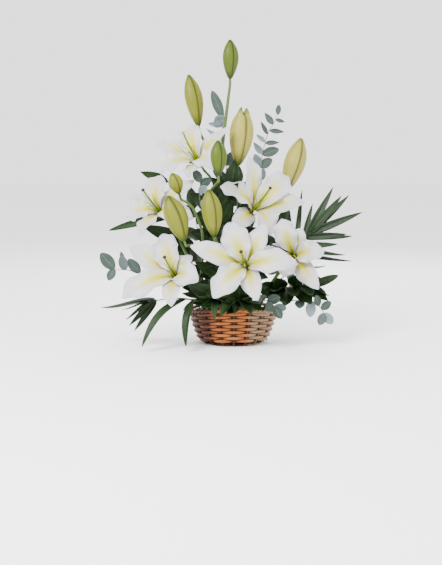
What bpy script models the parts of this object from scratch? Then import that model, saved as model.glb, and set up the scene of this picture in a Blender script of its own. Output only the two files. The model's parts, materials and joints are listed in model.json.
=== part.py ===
"""Six open white lilies, eight buds and cut foliage standing in a round woven basket.

Metres, +Z up, the underside of the basket on Z = 0 and the open faces of the flowers towards -Y.
Every stem stands in its own bore in a block of flower foam inside the lined basket.
"""

import math

import bmesh
import bpy
import numpy as np
from mathutils import Matrix, Vector

# basket
BASE_RADIUS = 0.057
BASE_THICK = 0.004
BOWL_FLARE = 0.029          # how far the wall leans out between the base and the rim
BOWL_POWER = 0.6            # under 1: a bowl that opens early and then stands up
BOWL_BENDS = (0.0, 0.0075, 0.018, 0.036, 0.070)
RIM_HEIGHT = 0.0700
RIM_SADDLE = 0.0045         # the rim is lower at left and right than at front and back
RIM_THICK = 0.0034
STAKES = 17                 # odd, so one strand alternates by itself from row to row
STAKE_TURN = -0.080         # in radians, brings one stake to the front
STAKE_RADIUS = 0.0014
ROW_PITCH = 0.0058
STRAND_HIGH = 0.0046
STRAND_THICK = 0.0024
STRAND_SWAY = 0.0033
LINER_THICK = 0.0008
LINER_INSET = 0.0067
FOAM_INSET = 0.0081
FOAM_BOTTOM = 0.0078
FOAM_TOP = 0.066
STEM_FOOT = 0.030
STEM_COLLAR = 0.074         # stems are straight up to this height, then they bend
BORE_GAP = 0.00045

# lilies
HUB_GAP = 0.0003
OUTER_START = 0.0076
INNER_START = 0.0052
TEPAL_THICK = 0.0012
MOST_TURN = 0.88            # half angle a tepal may take round the throat, in radians
TEPAL_ALONG = 6
TEPAL_ACROSS = 4
OVARY_RADIUS = 0.0031
STYLE_RADIUS = 0.0017
PEDICEL_RADIUS = 0.0024
MAIN_STEM_RADIUS = 0.0034

# throat, facing direction, stigma, then the outer and the inner tepals as (tip, width)
LILIES = {
    "lily_1": dict(
        hub=(-0.066, 0.000, 0.357), axis=(-0.45, -0.55, 0.70), stigma=(-0.098, -0.042, 0.418),
        outer=[((-0.151, 0.045, 0.398), 0.034), ((-0.007, 0.010, 0.429), 0.036),
               ((-0.084, -0.055, 0.331), 0.036)],
        inner=[((-0.087, 0.055, 0.432), 0.050), ((-0.035, -0.072, 0.351), 0.040),
               ((-0.144, -0.015, 0.338), 0.050)]),
    "lily_2": dict(
        hub=(-0.143, -0.020, 0.261), axis=(-0.42, -0.70, 0.57), stigma=(-0.174, -0.079, 0.308),
        outer=[((-0.208, 0.015, 0.291), 0.034), ((-0.180, -0.075, 0.219), 0.034),
               ((-0.077, -0.025, 0.325), 0.036)],
        inner=[((-0.211, -0.012, 0.252), 0.046), ((-0.078, -0.084, 0.2525), 0.046),
               ((-0.149, 0.008, 0.333), 0.048)]),
    "lily_3": dict(
        hub=(-0.111, -0.080, 0.140), axis=(-0.29, -0.80, 0.52), stigma=(-0.130, -0.146, 0.184),
        outer=[((-0.202, -0.048, 0.196), 0.042), ((-0.080, -0.085, 0.181), 0.036),
               ((-0.117, -0.147, 0.091), 0.038)],
        inner=[((-0.137, -0.050, 0.221), 0.052), ((-0.067, -0.130, 0.138), 0.050),
               ((-0.213, -0.105, 0.102), 0.050)]),
    "lily_4": dict(
        hub=(0.024, -0.095, 0.162), axis=(-0.13, -0.91, 0.39), stigma=(0.013, -0.169, 0.196),
        outer=[((-0.082, -0.116, 0.202), 0.040), ((0.044, -0.156, 0.103), 0.038),
               ((0.062, -0.098, 0.243), 0.040)],
        inner=[((-0.039, -0.143, 0.107), 0.052), ((0.117, -0.137, 0.173), 0.052),
               ((-0.009, -0.088, 0.245), 0.054)]),
    "lily_5": dict(
        hub=(0.037, 0.005, 0.261), axis=(0.47, -0.65, 0.60), stigma=(0.072, -0.051, 0.311),
        outer=[((0.032, 0.026, 0.372), 0.038), ((0.143, 0.022, 0.280), 0.038),
               ((-0.003, -0.050, 0.233), 0.038)],
        inner=[((0.109, 0.045, 0.332), 0.052), ((-0.026, -0.035, 0.312), 0.050),
               ((0.072, -0.040, 0.217), 0.048)]),
    "lily_6": dict(
        hub=(0.121, -0.035, 0.175), axis=(-0.25, -0.92, 0.31), stigma=(0.071, -0.093, 0.204),
        outer=[((0.163, -0.098, 0.118), 0.038), ((0.056, -0.052, 0.190), 0.032),
               ((0.133, -0.060, 0.232), 0.038)],
        inner=[((0.174, -0.088, 0.188), 0.044), ((0.098, -0.080, 0.140), 0.040),
               ((0.094, -0.045, 0.250), 0.044)]),
}

# base, tip, greatest width, how far the tepal tips have parted
BUDS = {
    "bud_top": ((-0.006, 0.030, 0.526), (-0.006, 0.030, 0.602), 0.031),
    "bud_upper_left": ((-0.070, 0.080, 0.434), (-0.090, 0.085, 0.537), 0.035),
    "bud_centre": ((0.010, 0.050, 0.355), (0.020, 0.055, 0.470), 0.047),
    "bud_green_front": ((-0.029, -0.095, 0.336), (-0.030, -0.095, 0.402), 0.031),
    "bud_right": ((0.109, 0.085, 0.302), (0.141, 0.100, 0.409), 0.043),
    "bud_small_left": ((-0.104, -0.092, 0.301), (-0.117, -0.102, 0.340), 0.026),
    "bud_left_front": ((-0.0945, -0.112, 0.2135), (-0.1245, -0.126, 0.298), 0.042),
    "bud_low_centre": ((-0.037, -0.100, 0.220), (-0.048, -0.100, 0.309), 0.038),
}

# each main stem: foot and collar in the foam, its path, then the pedicels that leave it
LILY_STEMS = {
    "stem_1": dict(
        foot=(-0.020, 0.024), lean=(-0.003, 0.002),
        path=[(-0.024, 0.030, 0.150), (-0.026, 0.034, 0.260), (-0.024, 0.036, 0.360),
              (-0.014, 0.032, 0.450), "bud_top"],
        side=[[(-0.026, 0.034, 0.265), (-0.040, 0.050, 0.320), "lily_1"],
              [(-0.025, 0.036, 0.350), (-0.052, 0.082, 0.390), "bud_upper_left"]]),
    "stem_2": dict(
        foot=(0.022, 0.026), lean=(0.001, 0.002),
        path=[(0.024, 0.034, 0.140), (0.016, 0.048, 0.230), (0.010, 0.052, 0.300), "bud_centre"],
        side=[[(0.023, 0.036, 0.160), (0.022, 0.032, 0.215), "lily_5"],
              [(0.022, 0.040, 0.180), (0.070, 0.076, 0.240), "bud_right"]]),
    "stem_3": dict(
        foot=(-0.042, -0.004), lean=(-0.006, 0.001),
        path=[(-0.070, 0.004, 0.130), (-0.100, 0.014, 0.190), (-0.118, 0.018, 0.225), "lily_2"],
        side=[[(-0.060, -0.040, 0.180), (-0.060, -0.072, 0.225), (-0.078, -0.090, 0.274),
               "bud_small_left"],
              [(-0.066, 0.003, 0.124), (-0.060, -0.040, 0.180), (-0.072, -0.078, 0.200),
               "bud_left_front"]]),
    "stem_4": dict(
        foot=(-0.010, -0.020), lean=(0.000, -0.003),
        path=[(-0.010, -0.030, 0.110), (0.010, -0.040, 0.135), "lily_4"],
        side=[[(-0.010, -0.030, 0.112), (-0.026, -0.062, 0.165), "bud_low_centre"],
              [(-0.010, -0.028, 0.106), (-0.034, -0.024, 0.210), (-0.050, -0.052, 0.290),
               "bud_green_front"]]),
    "stem_5": dict(
        foot=(-0.026, -0.036), lean=(-0.006, -0.002),
        path=[(-0.060, -0.042, 0.106), (-0.086, -0.046, 0.122), "lily_3"], side=[]),
    "stem_6": dict(
        foot=(0.040, -0.012), lean=(0.006, -0.001),
        path=[(0.070, -0.006, 0.110), (0.100, 0.000, 0.150), "lily_6"], side=[]),
}

COLOURS = {
    "willow": (0.42, 0.20, 0.10, 1), "willow_base": (0.36, 0.22, 0.13, 1),
    "liner": (0.03, 0.03, 0.03, 1), "foam": (0.05, 0.13, 0.05, 1),
    "tepal": (0.88, 0.88, 0.86, 1), "pistil": (0.35, 0.50, 0.10, 1),
    "bud_green": (0.26, 0.36, 0.05, 1), "bud_cream": (0.62, 0.56, 0.30, 1),
    "stem": (0.10, 0.17, 0.04, 1), "leaf": (0.03, 0.08, 0.02, 1),
    "eucalyptus": (0.16, 0.26, 0.22, 1),
}


def clear_scene():
    for obj in list(bpy.data.objects):
        bpy.data.objects.remove(obj)


def collection(name):
    made = bpy.data.collections.new(name)
    bpy.context.scene.collection.children.link(made)
    return made


def material(name, colour, roughness=0.6):
    made = bpy.data.materials.new(name)
    made.use_nodes = True
    shader = made.node_tree.nodes["Principled BSDF"]
    shader.inputs["Base Color"].default_value = colour
    shader.inputs["Roughness"].default_value = roughness
    return made


def unit(v):
    return Vector(v).normalized()


def mesh_object(name, mesh, place):
    obj = bpy.data.objects.new(name, mesh)
    place.objects.link(obj)
    return obj


def applied(obj):
    """The object's mesh with its modifiers and curve settings applied, as a new mesh."""
    bpy.context.view_layer.update()
    graph = bpy.context.evaluated_depsgraph_get()
    mesh = bpy.data.meshes.new_from_object(obj.evaluated_get(graph), depsgraph=graph)
    work = bmesh.new()
    work.from_mesh(mesh)
    bmesh.ops.remove_doubles(work, verts=work.verts, dist=2e-6)
    bmesh.ops.dissolve_degenerate(work, dist=1e-6, edges=work.edges)
    bmesh.ops.recalc_face_normals(work, faces=work.faces)
    work.to_mesh(mesh)
    work.free()
    return mesh


def replace_by_applied(obj, place):
    mesh = applied(obj)
    name = obj.name
    bpy.data.objects.remove(obj)
    mesh.materials.clear()
    return mesh_object(name, mesh, place)


def finish(obj, key, roughness=0.6):
    """Give the finished piece its own material."""
    obj.data.materials.clear()
    obj.data.materials.append(material(obj.name + "_mat", COLOURS[key], roughness))
    return obj


def unite(name, pieces, place):
    """One closed body from pieces that run into each other."""
    first, rest = pieces[0], pieces[1:]
    first.name = name
    if rest:
        others = collection(name + "_pieces")
        for piece in rest:
            for owner in list(piece.users_collection):
                owner.objects.unlink(piece)
            others.objects.link(piece)
        union = first.modifiers.new("unite", "BOOLEAN")
        union.operation = "UNION"
        union.solver = "EXACT"
        union.operand_type = "COLLECTION"
        union.collection = others
    done = replace_by_applied(first, place)
    done.name = name
    for piece in rest:
        bpy.data.objects.remove(piece)
    return done


def tube(points, radii, place, sides=6, smooth=False, cyclic=False):
    """A round rod along points; radii is one number or one for each point."""
    curve = bpy.data.curves.new("rod", "CURVE")
    curve.dimensions = "3D"
    curve.bevel_depth = 1.0
    curve.bevel_resolution = (sides - 4) // 2
    curve.use_fill_caps = not cyclic
    if smooth:
        points, radii = smoothed(points, radii)
    if not hasattr(radii, "__len__"):
        radii = [radii] * len(points)
    spline = curve.splines.new("POLY")
    spline.points.add(len(points) - 1)
    for spot, point, radius in zip(spline.points, points, radii):
        spot.co = (*point, 1)
        spot.radius = radius
    spline.use_cyclic_u = cyclic
    obj = bpy.data.objects.new("rod", curve)
    place.objects.link(obj)
    return replace_by_applied(obj, place)


def smoothed(points, radii, steps=3):
    """Catmull-Rom points between the given ones, the ends kept."""
    given = [Vector(p) for p in points]
    if not hasattr(radii, "__len__"):
        radii = [radii] * len(given)
    padded = [given[0] * 2 - given[1], *given, given[-1] * 2 - given[-2]]
    out, sizes = [], []
    for k in range(len(given) - 1):
        a, b, c, d = padded[k:k + 4]
        for s in range(steps):
            t = s / steps
            spot = 0.5 * (2 * b + (c - a) * t + (2 * a - 5 * b + 4 * c - d) * t * t
                          + (3 * b - a - 3 * c + d) * t ** 3)
            out.append(spot)
            sizes.append(radii[k] * (1 - t) + radii[k + 1] * t)
    return out + [given[-1]], sizes + [radii[-1]]


def sheet(surface, along, across, thickness, place, name="sheet"):
    """A thin closed body over surface(u, v), u from 0 to 1 along and v from -1 to 1 across."""
    work = bmesh.new()
    bmesh.ops.create_grid(work, x_segments=along, y_segments=across, size=1)
    for vert in work.verts:
        vert.co = surface((vert.co.x + 1) / 2, vert.co.y)
    mesh = bpy.data.meshes.new(name)
    work.to_mesh(mesh)
    work.free()
    obj = mesh_object(name, mesh, place)
    solid = obj.modifiers.new("thickness", "SOLIDIFY")
    solid.thickness = thickness
    solid.offset = 0
    return replace_by_applied(obj, place)


def lathe(profile, place, name, steps=24, squash=None):
    """A closed body turned about Z from (radius, height) pairs that start and end on the axis."""
    work = bmesh.new()
    verts = [work.verts.new((r, 0, z)) for r, z in profile]
    edges = [work.edges.new(pair) for pair in zip(verts, verts[1:])]
    bmesh.ops.spin(work, geom=verts + edges, cent=(0, 0, 0), axis=(0, 0, 1),
                   angle=2 * math.pi, steps=steps, use_merge=True)
    bmesh.ops.remove_doubles(work, verts=work.verts, dist=1e-6)
    if squash:
        for vert in work.verts:
            vert.co = squash(vert.co)
    bmesh.ops.recalc_face_normals(work, faces=work.faces)
    mesh = bpy.data.meshes.new(name)
    work.to_mesh(mesh)
    work.free()
    return mesh_object(name, mesh, place)


# ---------------------------------------------------------------- basket

def rim_height(angle):
    return RIM_HEIGHT - RIM_SADDLE * math.cos(2 * angle)


def bowl_radius(z):
    """Radius of the middle of the wall at a height on an unsaddled bowl."""
    radii = [BASE_RADIUS + BOWL_FLARE * (h / RIM_HEIGHT) ** BOWL_POWER for h in BOWL_BENDS]
    return float(np.interp(z, BOWL_BENDS, radii))


def saddled(point):
    """Stretch a height by the saddle of the rim at that place."""
    angle = math.atan2(point[1], point[0])
    lift = rim_height(angle) / RIM_HEIGHT
    return Vector((point[0], point[1], point[2] * lift))


def on_wall(angle, z, inset=0.0):
    r = bowl_radius(z) - inset
    return Vector((r * math.cos(angle), r * math.sin(angle), z))


def make_basket(place):
    base = lathe([(0, 0), (BASE_RADIUS - 0.006, 0), (BASE_RADIUS - 0.002, 0.0010),
                  (BASE_RADIUS - 0.001, BASE_THICK), (0, BASE_THICK)], place, "base", steps=28)
    pieces = [base]
    top = RIM_HEIGHT - RIM_THICK - HUB_GAP * 2
    for k in range(STAKES):
        angle = STAKE_TURN + 2 * math.pi * k / STAKES
        heights = [0.0024, *BOWL_BENDS[1:4], top]
        points = [saddled(on_wall(angle, z)) for z in heights]
        points[0] = Vector((points[0].x * 0.88, points[0].y * 0.88, 0.0024))
        pieces.append(tube(points, STAKE_RADIUS, place, sides=4))
    finish(unite("basket_frame", pieces, place), "willow_base")

    rim = []
    for k in range(40):
        rim.append(saddled(on_wall(2 * math.pi * k / 40, RIM_HEIGHT)))
    ring = tube(rim, RIM_THICK, place, sides=6, cyclic=True)
    ring.name = "basket_rim"
    finish(ring, "willow")

    finish(make_strand(place), "willow")

    inside = LINER_INSET + LINER_THICK
    low = BASE_THICK + HUB_GAP
    liner = [(0, low), (bowl_radius(low) - LINER_INSET - 0.006, low)]
    heights = [*BOWL_BENDS[1:4], 0.0645]
    liner += [(bowl_radius(z) - LINER_INSET, z) for z in heights]
    liner += [(bowl_radius(z) - inside, z) for z in reversed(heights)]
    liner += [(bowl_radius(low) - inside - 0.006, low + LINER_THICK), (0, low + LINER_THICK)]
    finish(lathe(liner, place, "basket_liner", steps=28, squash=saddled), "liner")


def make_strand(place):
    """One flat strand wound up the stakes, outside one and inside the next."""
    first, last = 0.0116, RIM_HEIGHT - RIM_THICK - STRAND_HIGH / 2 - 0.0012
    turns = (last - first) / ROW_PITCH
    count = int(turns * STAKES)
    curve = bpy.data.curves.new("strand", "CURVE")
    curve.dimensions = "3D"
    curve.twist_mode = "Z_UP"
    curve.bevel_mode = "OBJECT"
    section = bpy.data.curves.new("section", "CURVE")
    section.dimensions = "2D"
    half_a, half_b = STRAND_THICK / 2, STRAND_HIGH / 2
    corners = section.splines.new("POLY")
    outline = [(-half_a, -half_b), (half_a, -half_b), (half_a, half_b), (-half_a, half_b)]
    corners.points.add(len(outline) - 1)
    for spot, (a, b) in zip(corners.points, outline):
        spot.co = (a, b, 0, 1)
    corners.use_cyclic_u = True
    section_object = bpy.data.objects.new("section", section)
    place.objects.link(section_object)
    curve.bevel_object = section_object
    curve.use_fill_caps = True
    spline = curve.splines.new("POLY")
    spline.points.add(count - 1)
    for k, spot in enumerate(spline.points):
        z = first + ROW_PITCH * k / STAKES
        lean = (bowl_radius(z + 0.002) - bowl_radius(z - 0.002)) / 0.004
        sway = (1 if k % 2 else -1) * (STRAND_SWAY + lean * STRAND_HIGH * 0.4)
        point = saddled(on_wall(STAKE_TURN + 2 * math.pi * k / STAKES, z, -sway))
        spot.co = (*point, 1)
    obj = bpy.data.objects.new("basket_weaver", curve)
    place.objects.link(obj)
    done = replace_by_applied(obj, place)
    done.name = "basket_weaver"
    bpy.data.objects.remove(section_object)
    return done


def make_foam(place, bores):
    """The wet foam block, bored for every stem that stands in it."""
    heights = [FOAM_BOTTOM, *BOWL_BENDS[2:4], FOAM_TOP]
    profile = [(0, FOAM_BOTTOM), (bowl_radius(FOAM_BOTTOM) - FOAM_INSET - 0.006, FOAM_BOTTOM)]
    profile += [(bowl_radius(z) - FOAM_INSET, z) for z in heights[1:]]
    profile += [(0.045, FOAM_TOP + 0.0035), (0, FOAM_TOP + 0.005)]
    foam = lathe(profile, place, "flower_foam", steps=28, squash=saddled)
    cutters = collection("foam_cutters")
    for index, (foot, collar, radius) in enumerate(bores):
        line = (collar - foot).normalized()
        cutter = tube([foot - line * 0.0006, collar + line * 0.02],
                      (radius + BORE_GAP) * 1.06, cutters, 6)
        cutter.name = "bore_%02d" % index
        cutter.hide_render = True
        cutter.display_type = "WIRE"
    cut = foam.modifiers.new("bores", "BOOLEAN")
    cut.operation = "DIFFERENCE"
    cut.solver = "EXACT"
    cut.operand_type = "COLLECTION"
    cut.collection = cutters
    done = replace_by_applied(foam, place)
    done.name = "flower_foam"
    return finish(done, "foam", 0.95)


# ---------------------------------------------------------------- lilies

class Bloom:
    """The frame of one open lily: its throat, axis and two cross directions."""

    def __init__(self, given):
        self.hub = Vector(given["hub"])
        self.axis = unit(given["axis"])
        self.x = Vector((0, 0, 1)).cross(self.axis).normalized()
        self.y = self.axis.cross(self.x)

    def at(self, r, angle, h):
        return self.hub + self.axis * h + (self.x * math.cos(angle) + self.y * math.sin(angle)) * r

    def polar(self, point):
        q = Vector(point) - self.hub
        a, b, h = q.dot(self.x), q.dot(self.y), q.dot(self.axis)
        return math.hypot(a, b), math.atan2(b, a), h


def bezier(a, b, c, d, t):
    s = 1 - t
    return s * s * s * a + 3 * s * s * t * b + 3 * s * t * t * c + t * t * t * d


def tepal_width(t, width, start):
    """Half width along a tepal: a narrow claw, widest past the middle, a blunt point."""
    rise = math.sin(math.pi * min(1.0, t) ** 0.86) ** 0.75 if t < 0.999 else 0.0
    claw = start * 0.80 * (1 - t) ** 2
    return max(claw + rise * width / 2, 0.0016 if t > 0.9 else 0.0)


def tepal_surface(bloom, tip, width, inner):
    reach, angle, height = bloom.polar(tip)
    start = INNER_START if inner else OUTER_START
    drop = 0.0 if inner else 0.0090
    flat_from = (0.95 if inner else 0.55) * reach

    def surface(u, v):
        r = bezier(start, start + 0.05 * reach, 0.60 * reach, reach, u)
        h = bezier(0.0003 if inner else -0.0035, 0.030 - drop,
                   height + 0.022 - drop * 1.3, height, u)
        half = min(tepal_width(u, width, start), r * MOST_TURN)
        arc = v * half
        wrap = max(0.0, 1 - r / flat_from)
        turn = arc / max(r, start)
        round_part = Vector((r * math.cos(turn), r * math.sin(turn)))
        flat_part = Vector((r, arc))
        out = round_part * wrap + flat_part * (1 - wrap)
        lift = (0.10 if inner else -0.04) * half * v * v * math.sin(math.pi * min(1, u * 1.1))
        ca, sa = math.cos(angle), math.sin(angle)
        a, b = out.x * ca - out.y * sa, out.x * sa + out.y * ca
        return bloom.hub + bloom.x * a + bloom.y * b + bloom.axis * (h + lift)

    return surface


def disc_on(bloom, low, high, radius, place, taper=1.0):
    return tube([bloom.at(0, 0, low), bloom.at(0, 0, high)], [radius * taper, radius], place, 8)


def make_lily(name, given, place):
    bloom = Bloom(given)
    outer = [disc_on(bloom, -0.0075, -0.0010, OUTER_START + 0.0008, place, 0.55)]
    inner = [disc_on(bloom, -0.0007, 0.0016, INNER_START + 0.0001, place)]
    for tip, width in given["outer"]:
        skin = tepal_surface(bloom, tip, width, False)
        outer.append(sheet(skin, TEPAL_ALONG, TEPAL_ACROSS, TEPAL_THICK, place))
    for tip, width in given["inner"]:
        skin = tepal_surface(bloom, tip, width, True)
        inner.append(sheet(skin, TEPAL_ALONG, TEPAL_ACROSS, TEPAL_THICK, place))
    finish(unite(name + "_outer_tepals", outer, place), "tepal", 0.5)
    finish(unite(name + "_inner_tepals", inner, place), "tepal", 0.5)
    low = bloom.at(0, 0, 0.0016 + HUB_GAP)
    top = bloom.at(0, 0, 0.020)
    stigma = Vector(given["stigma"])
    bend = top + (stigma - top) * 0.5 + bloom.axis * 0.006
    path = [low, top, bend, stigma - (stigma - bend).normalized() * 0.006, stigma]
    radii = [OVARY_RADIUS, OVARY_RADIUS * 0.8, STYLE_RADIUS, STYLE_RADIUS * 1.1, 0.0038]
    pistil = tube(path, radii, place, 6)
    pistil.name = name + "_pistil"
    finish(pistil, "pistil")
    return bloom.at(0, 0, -0.0075 - HUB_GAP), bloom.axis


def make_bud(name, base, tip, width, place):
    """A spindle bud of three outer tepals: a rounded six-sided section, three keels."""
    base, tip = Vector(base), Vector(tip)
    length = (tip - base).length
    profile = [(0.0, 0.00), (0.20, 0.00), (0.44, 0.08), (0.74, 0.22), (0.97, 0.42), (1.0, 0.60),
               (0.80, 0.78), (0.46, 0.91), (0.16, 0.985), (0.0, 1.0)]
    bud = lathe([(r * width / 2, z * length) for r, z in profile], place, name, steps=9)
    for vert in bud.data.vertices:
        angle = math.atan2(vert.co.y, vert.co.x)
        swell = 1 + 0.06 * math.cos(3 * angle)
        vert.co.x *= swell
        vert.co.y *= swell
    turn = Vector((0, 0, 1)).rotation_difference((tip - base).normalized()).to_matrix().to_4x4()
    bud.data.transform(Matrix.Translation(base) @ turn)
    finish(bud, "bud_cream" if width > 0.0345 else "bud_green", 0.5)
    line = (tip - base).normalized()
    return base - line * HUB_GAP, line


def make_lily_stem(name, given, ends, place, bores):
    foot = Vector((*given["foot"], STEM_FOOT))
    lean = Vector((*given["lean"], STEM_COLLAR - STEM_FOOT))
    collar = foot + lean
    bores.append((foot, collar, MAIN_STEM_RADIUS))

    def run(path, first_radius):
        target, line = ends[path[-1]]
        points = [Vector(p) for p in path[:-1]] + [target - line * 0.012]
        radii = [first_radius] * (len(points) - 1) + [PEDICEL_RADIUS]
        return points, radii, target

    points, radii, target = run(given["path"], MAIN_STEM_RADIUS * 0.9)
    points, radii = smoothed([collar] + points, [MAIN_STEM_RADIUS] + radii, 2)
    pieces = [tube([foot] + points + [target], [MAIN_STEM_RADIUS] + radii + [PEDICEL_RADIUS * 0.9],
                   place, 6)]
    for branch in given["side"]:
        points, radii, target = run(branch, PEDICEL_RADIUS)
        points, radii = smoothed(points, radii, 2)
        pieces.append(tube(points + [target], radii + [PEDICEL_RADIUS * 0.9], place, 6))
    finish(unite(name, pieces, place), "stem")


# ---------------------------------------------------------------- foliage

def leaf(base, tip, width, facing, place, sag=0.0, along=3, blunt=False, thick=0.0009, fold=0.12):
    """A leaf from base to tip, its upper side towards facing, sagging by sag in the middle."""
    base, tip = Vector(base), Vector(tip)
    line = tip - base
    side = line.cross(Vector(facing)).normalized()
    normal = side.cross(line).normalized()

    def surface(u, v):
        if blunt:
            half = width / 2 * max(0.12, math.sin(math.pi * min(0.97, 0.05 + 0.92 * u)) ** 0.6)
        else:
            half = width / 2 * max(0.09, math.sin(math.pi * u ** 0.75) ** 0.85)
        arch = -sag * math.sin(math.pi * u)
        return base + line * u + side * (v * half) + normal * (fold * half * v * v + arch)

    return sheet(surface, along, 2, thick, place)


def sprig(name, foot, path, leaves, place, bores, key, radius=0.0013, lean=(0, 0)):
    """A stem that stands in the foam, and the leaves that grow from it."""
    pieces = []
    if foot:
        start = Vector((*foot, STEM_FOOT + 0.008))
        collar = start + Vector((*lean, STEM_COLLAR - STEM_FOOT - 0.008))
        bores.append((start, collar, radius))
        points = [start, start.lerp(collar, 0.5), collar]
        rest, _ = smoothed([collar] + [Vector(p) for p in path], radius, 2)
        points += rest[1:]
    else:
        points, _ = smoothed([Vector(p) for p in path], radius, 2)
    taper = [radius * (1 - 0.45 * k / (len(points) - 1)) for k in range(len(points))]
    for k in range(3):
        taper[k] = radius
    pieces.append(tube(points, taper, place, 4))
    for item in leaves:
        shape = item[4] if len(item) > 4 else {}
        pieces.append(leaf(nearest_on(points, item[0]), *item[1:4], place, **shape))
    finish(unite(name, pieces, place), key)


def nearest_on(path, point):
    """The point of a stem path nearest to a leaf, where its base is rooted."""
    best, found = 1e9, None
    for a, b in zip(path, path[1:]):
        a, b = Vector(a), Vector(b)
        t = max(0.0, min(1.0, (Vector(point) - a).dot(b - a) / (b - a).length_squared))
        spot = a.lerp(b, t)
        if (spot - Vector(point)).length < best:
            best, found = (spot - Vector(point)).length, spot
    return found


def paired_leaves(path, first, count, length, width, facing, spread=0.75, rise=0.5, **shape):
    """Leaves left and right by turns along a stem path, each rising a little with the stem."""
    given, _ = smoothed([Vector(p) for p in path], 0.001, 4)
    found = []
    for k in range(count):
        t = first + (1 - first) * (k + 0.5) / count
        spot = given[min(int(t * (len(given) - 1)), len(given) - 2)]
        after = given[min(int(t * (len(given) - 1)), len(given) - 2) + 1]
        line = (after - spot).normalized()
        side = line.cross(Vector(facing)).normalized() * (1 if k % 2 else -1)
        out = (line * rise + side * spread + Vector(facing).normalized() * 0.25).normalized()
        size = length * (1.0 - 0.25 * t)
        found.append((spot, spot + out * size, width * (1.0 - 0.2 * t), facing, dict(shape)))
    found.append((given[-1], given[-1] + (given[-1] - given[-2]).normalized() * length * 0.8,
                  width * 0.8, facing, dict(shape)))
    return found


# the ways the leaves face
UP, FRONT, BACK = (0, 0, 1), (0, -1, 0.2), (0, 1, 0.3)
LOW = (0, -0.6, 0.8)

# the outlines of the leaves
OVAL = dict(blunt=True, along=3)
BLADE = dict(along=2, thick=0.0010, fold=0.35)

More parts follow.
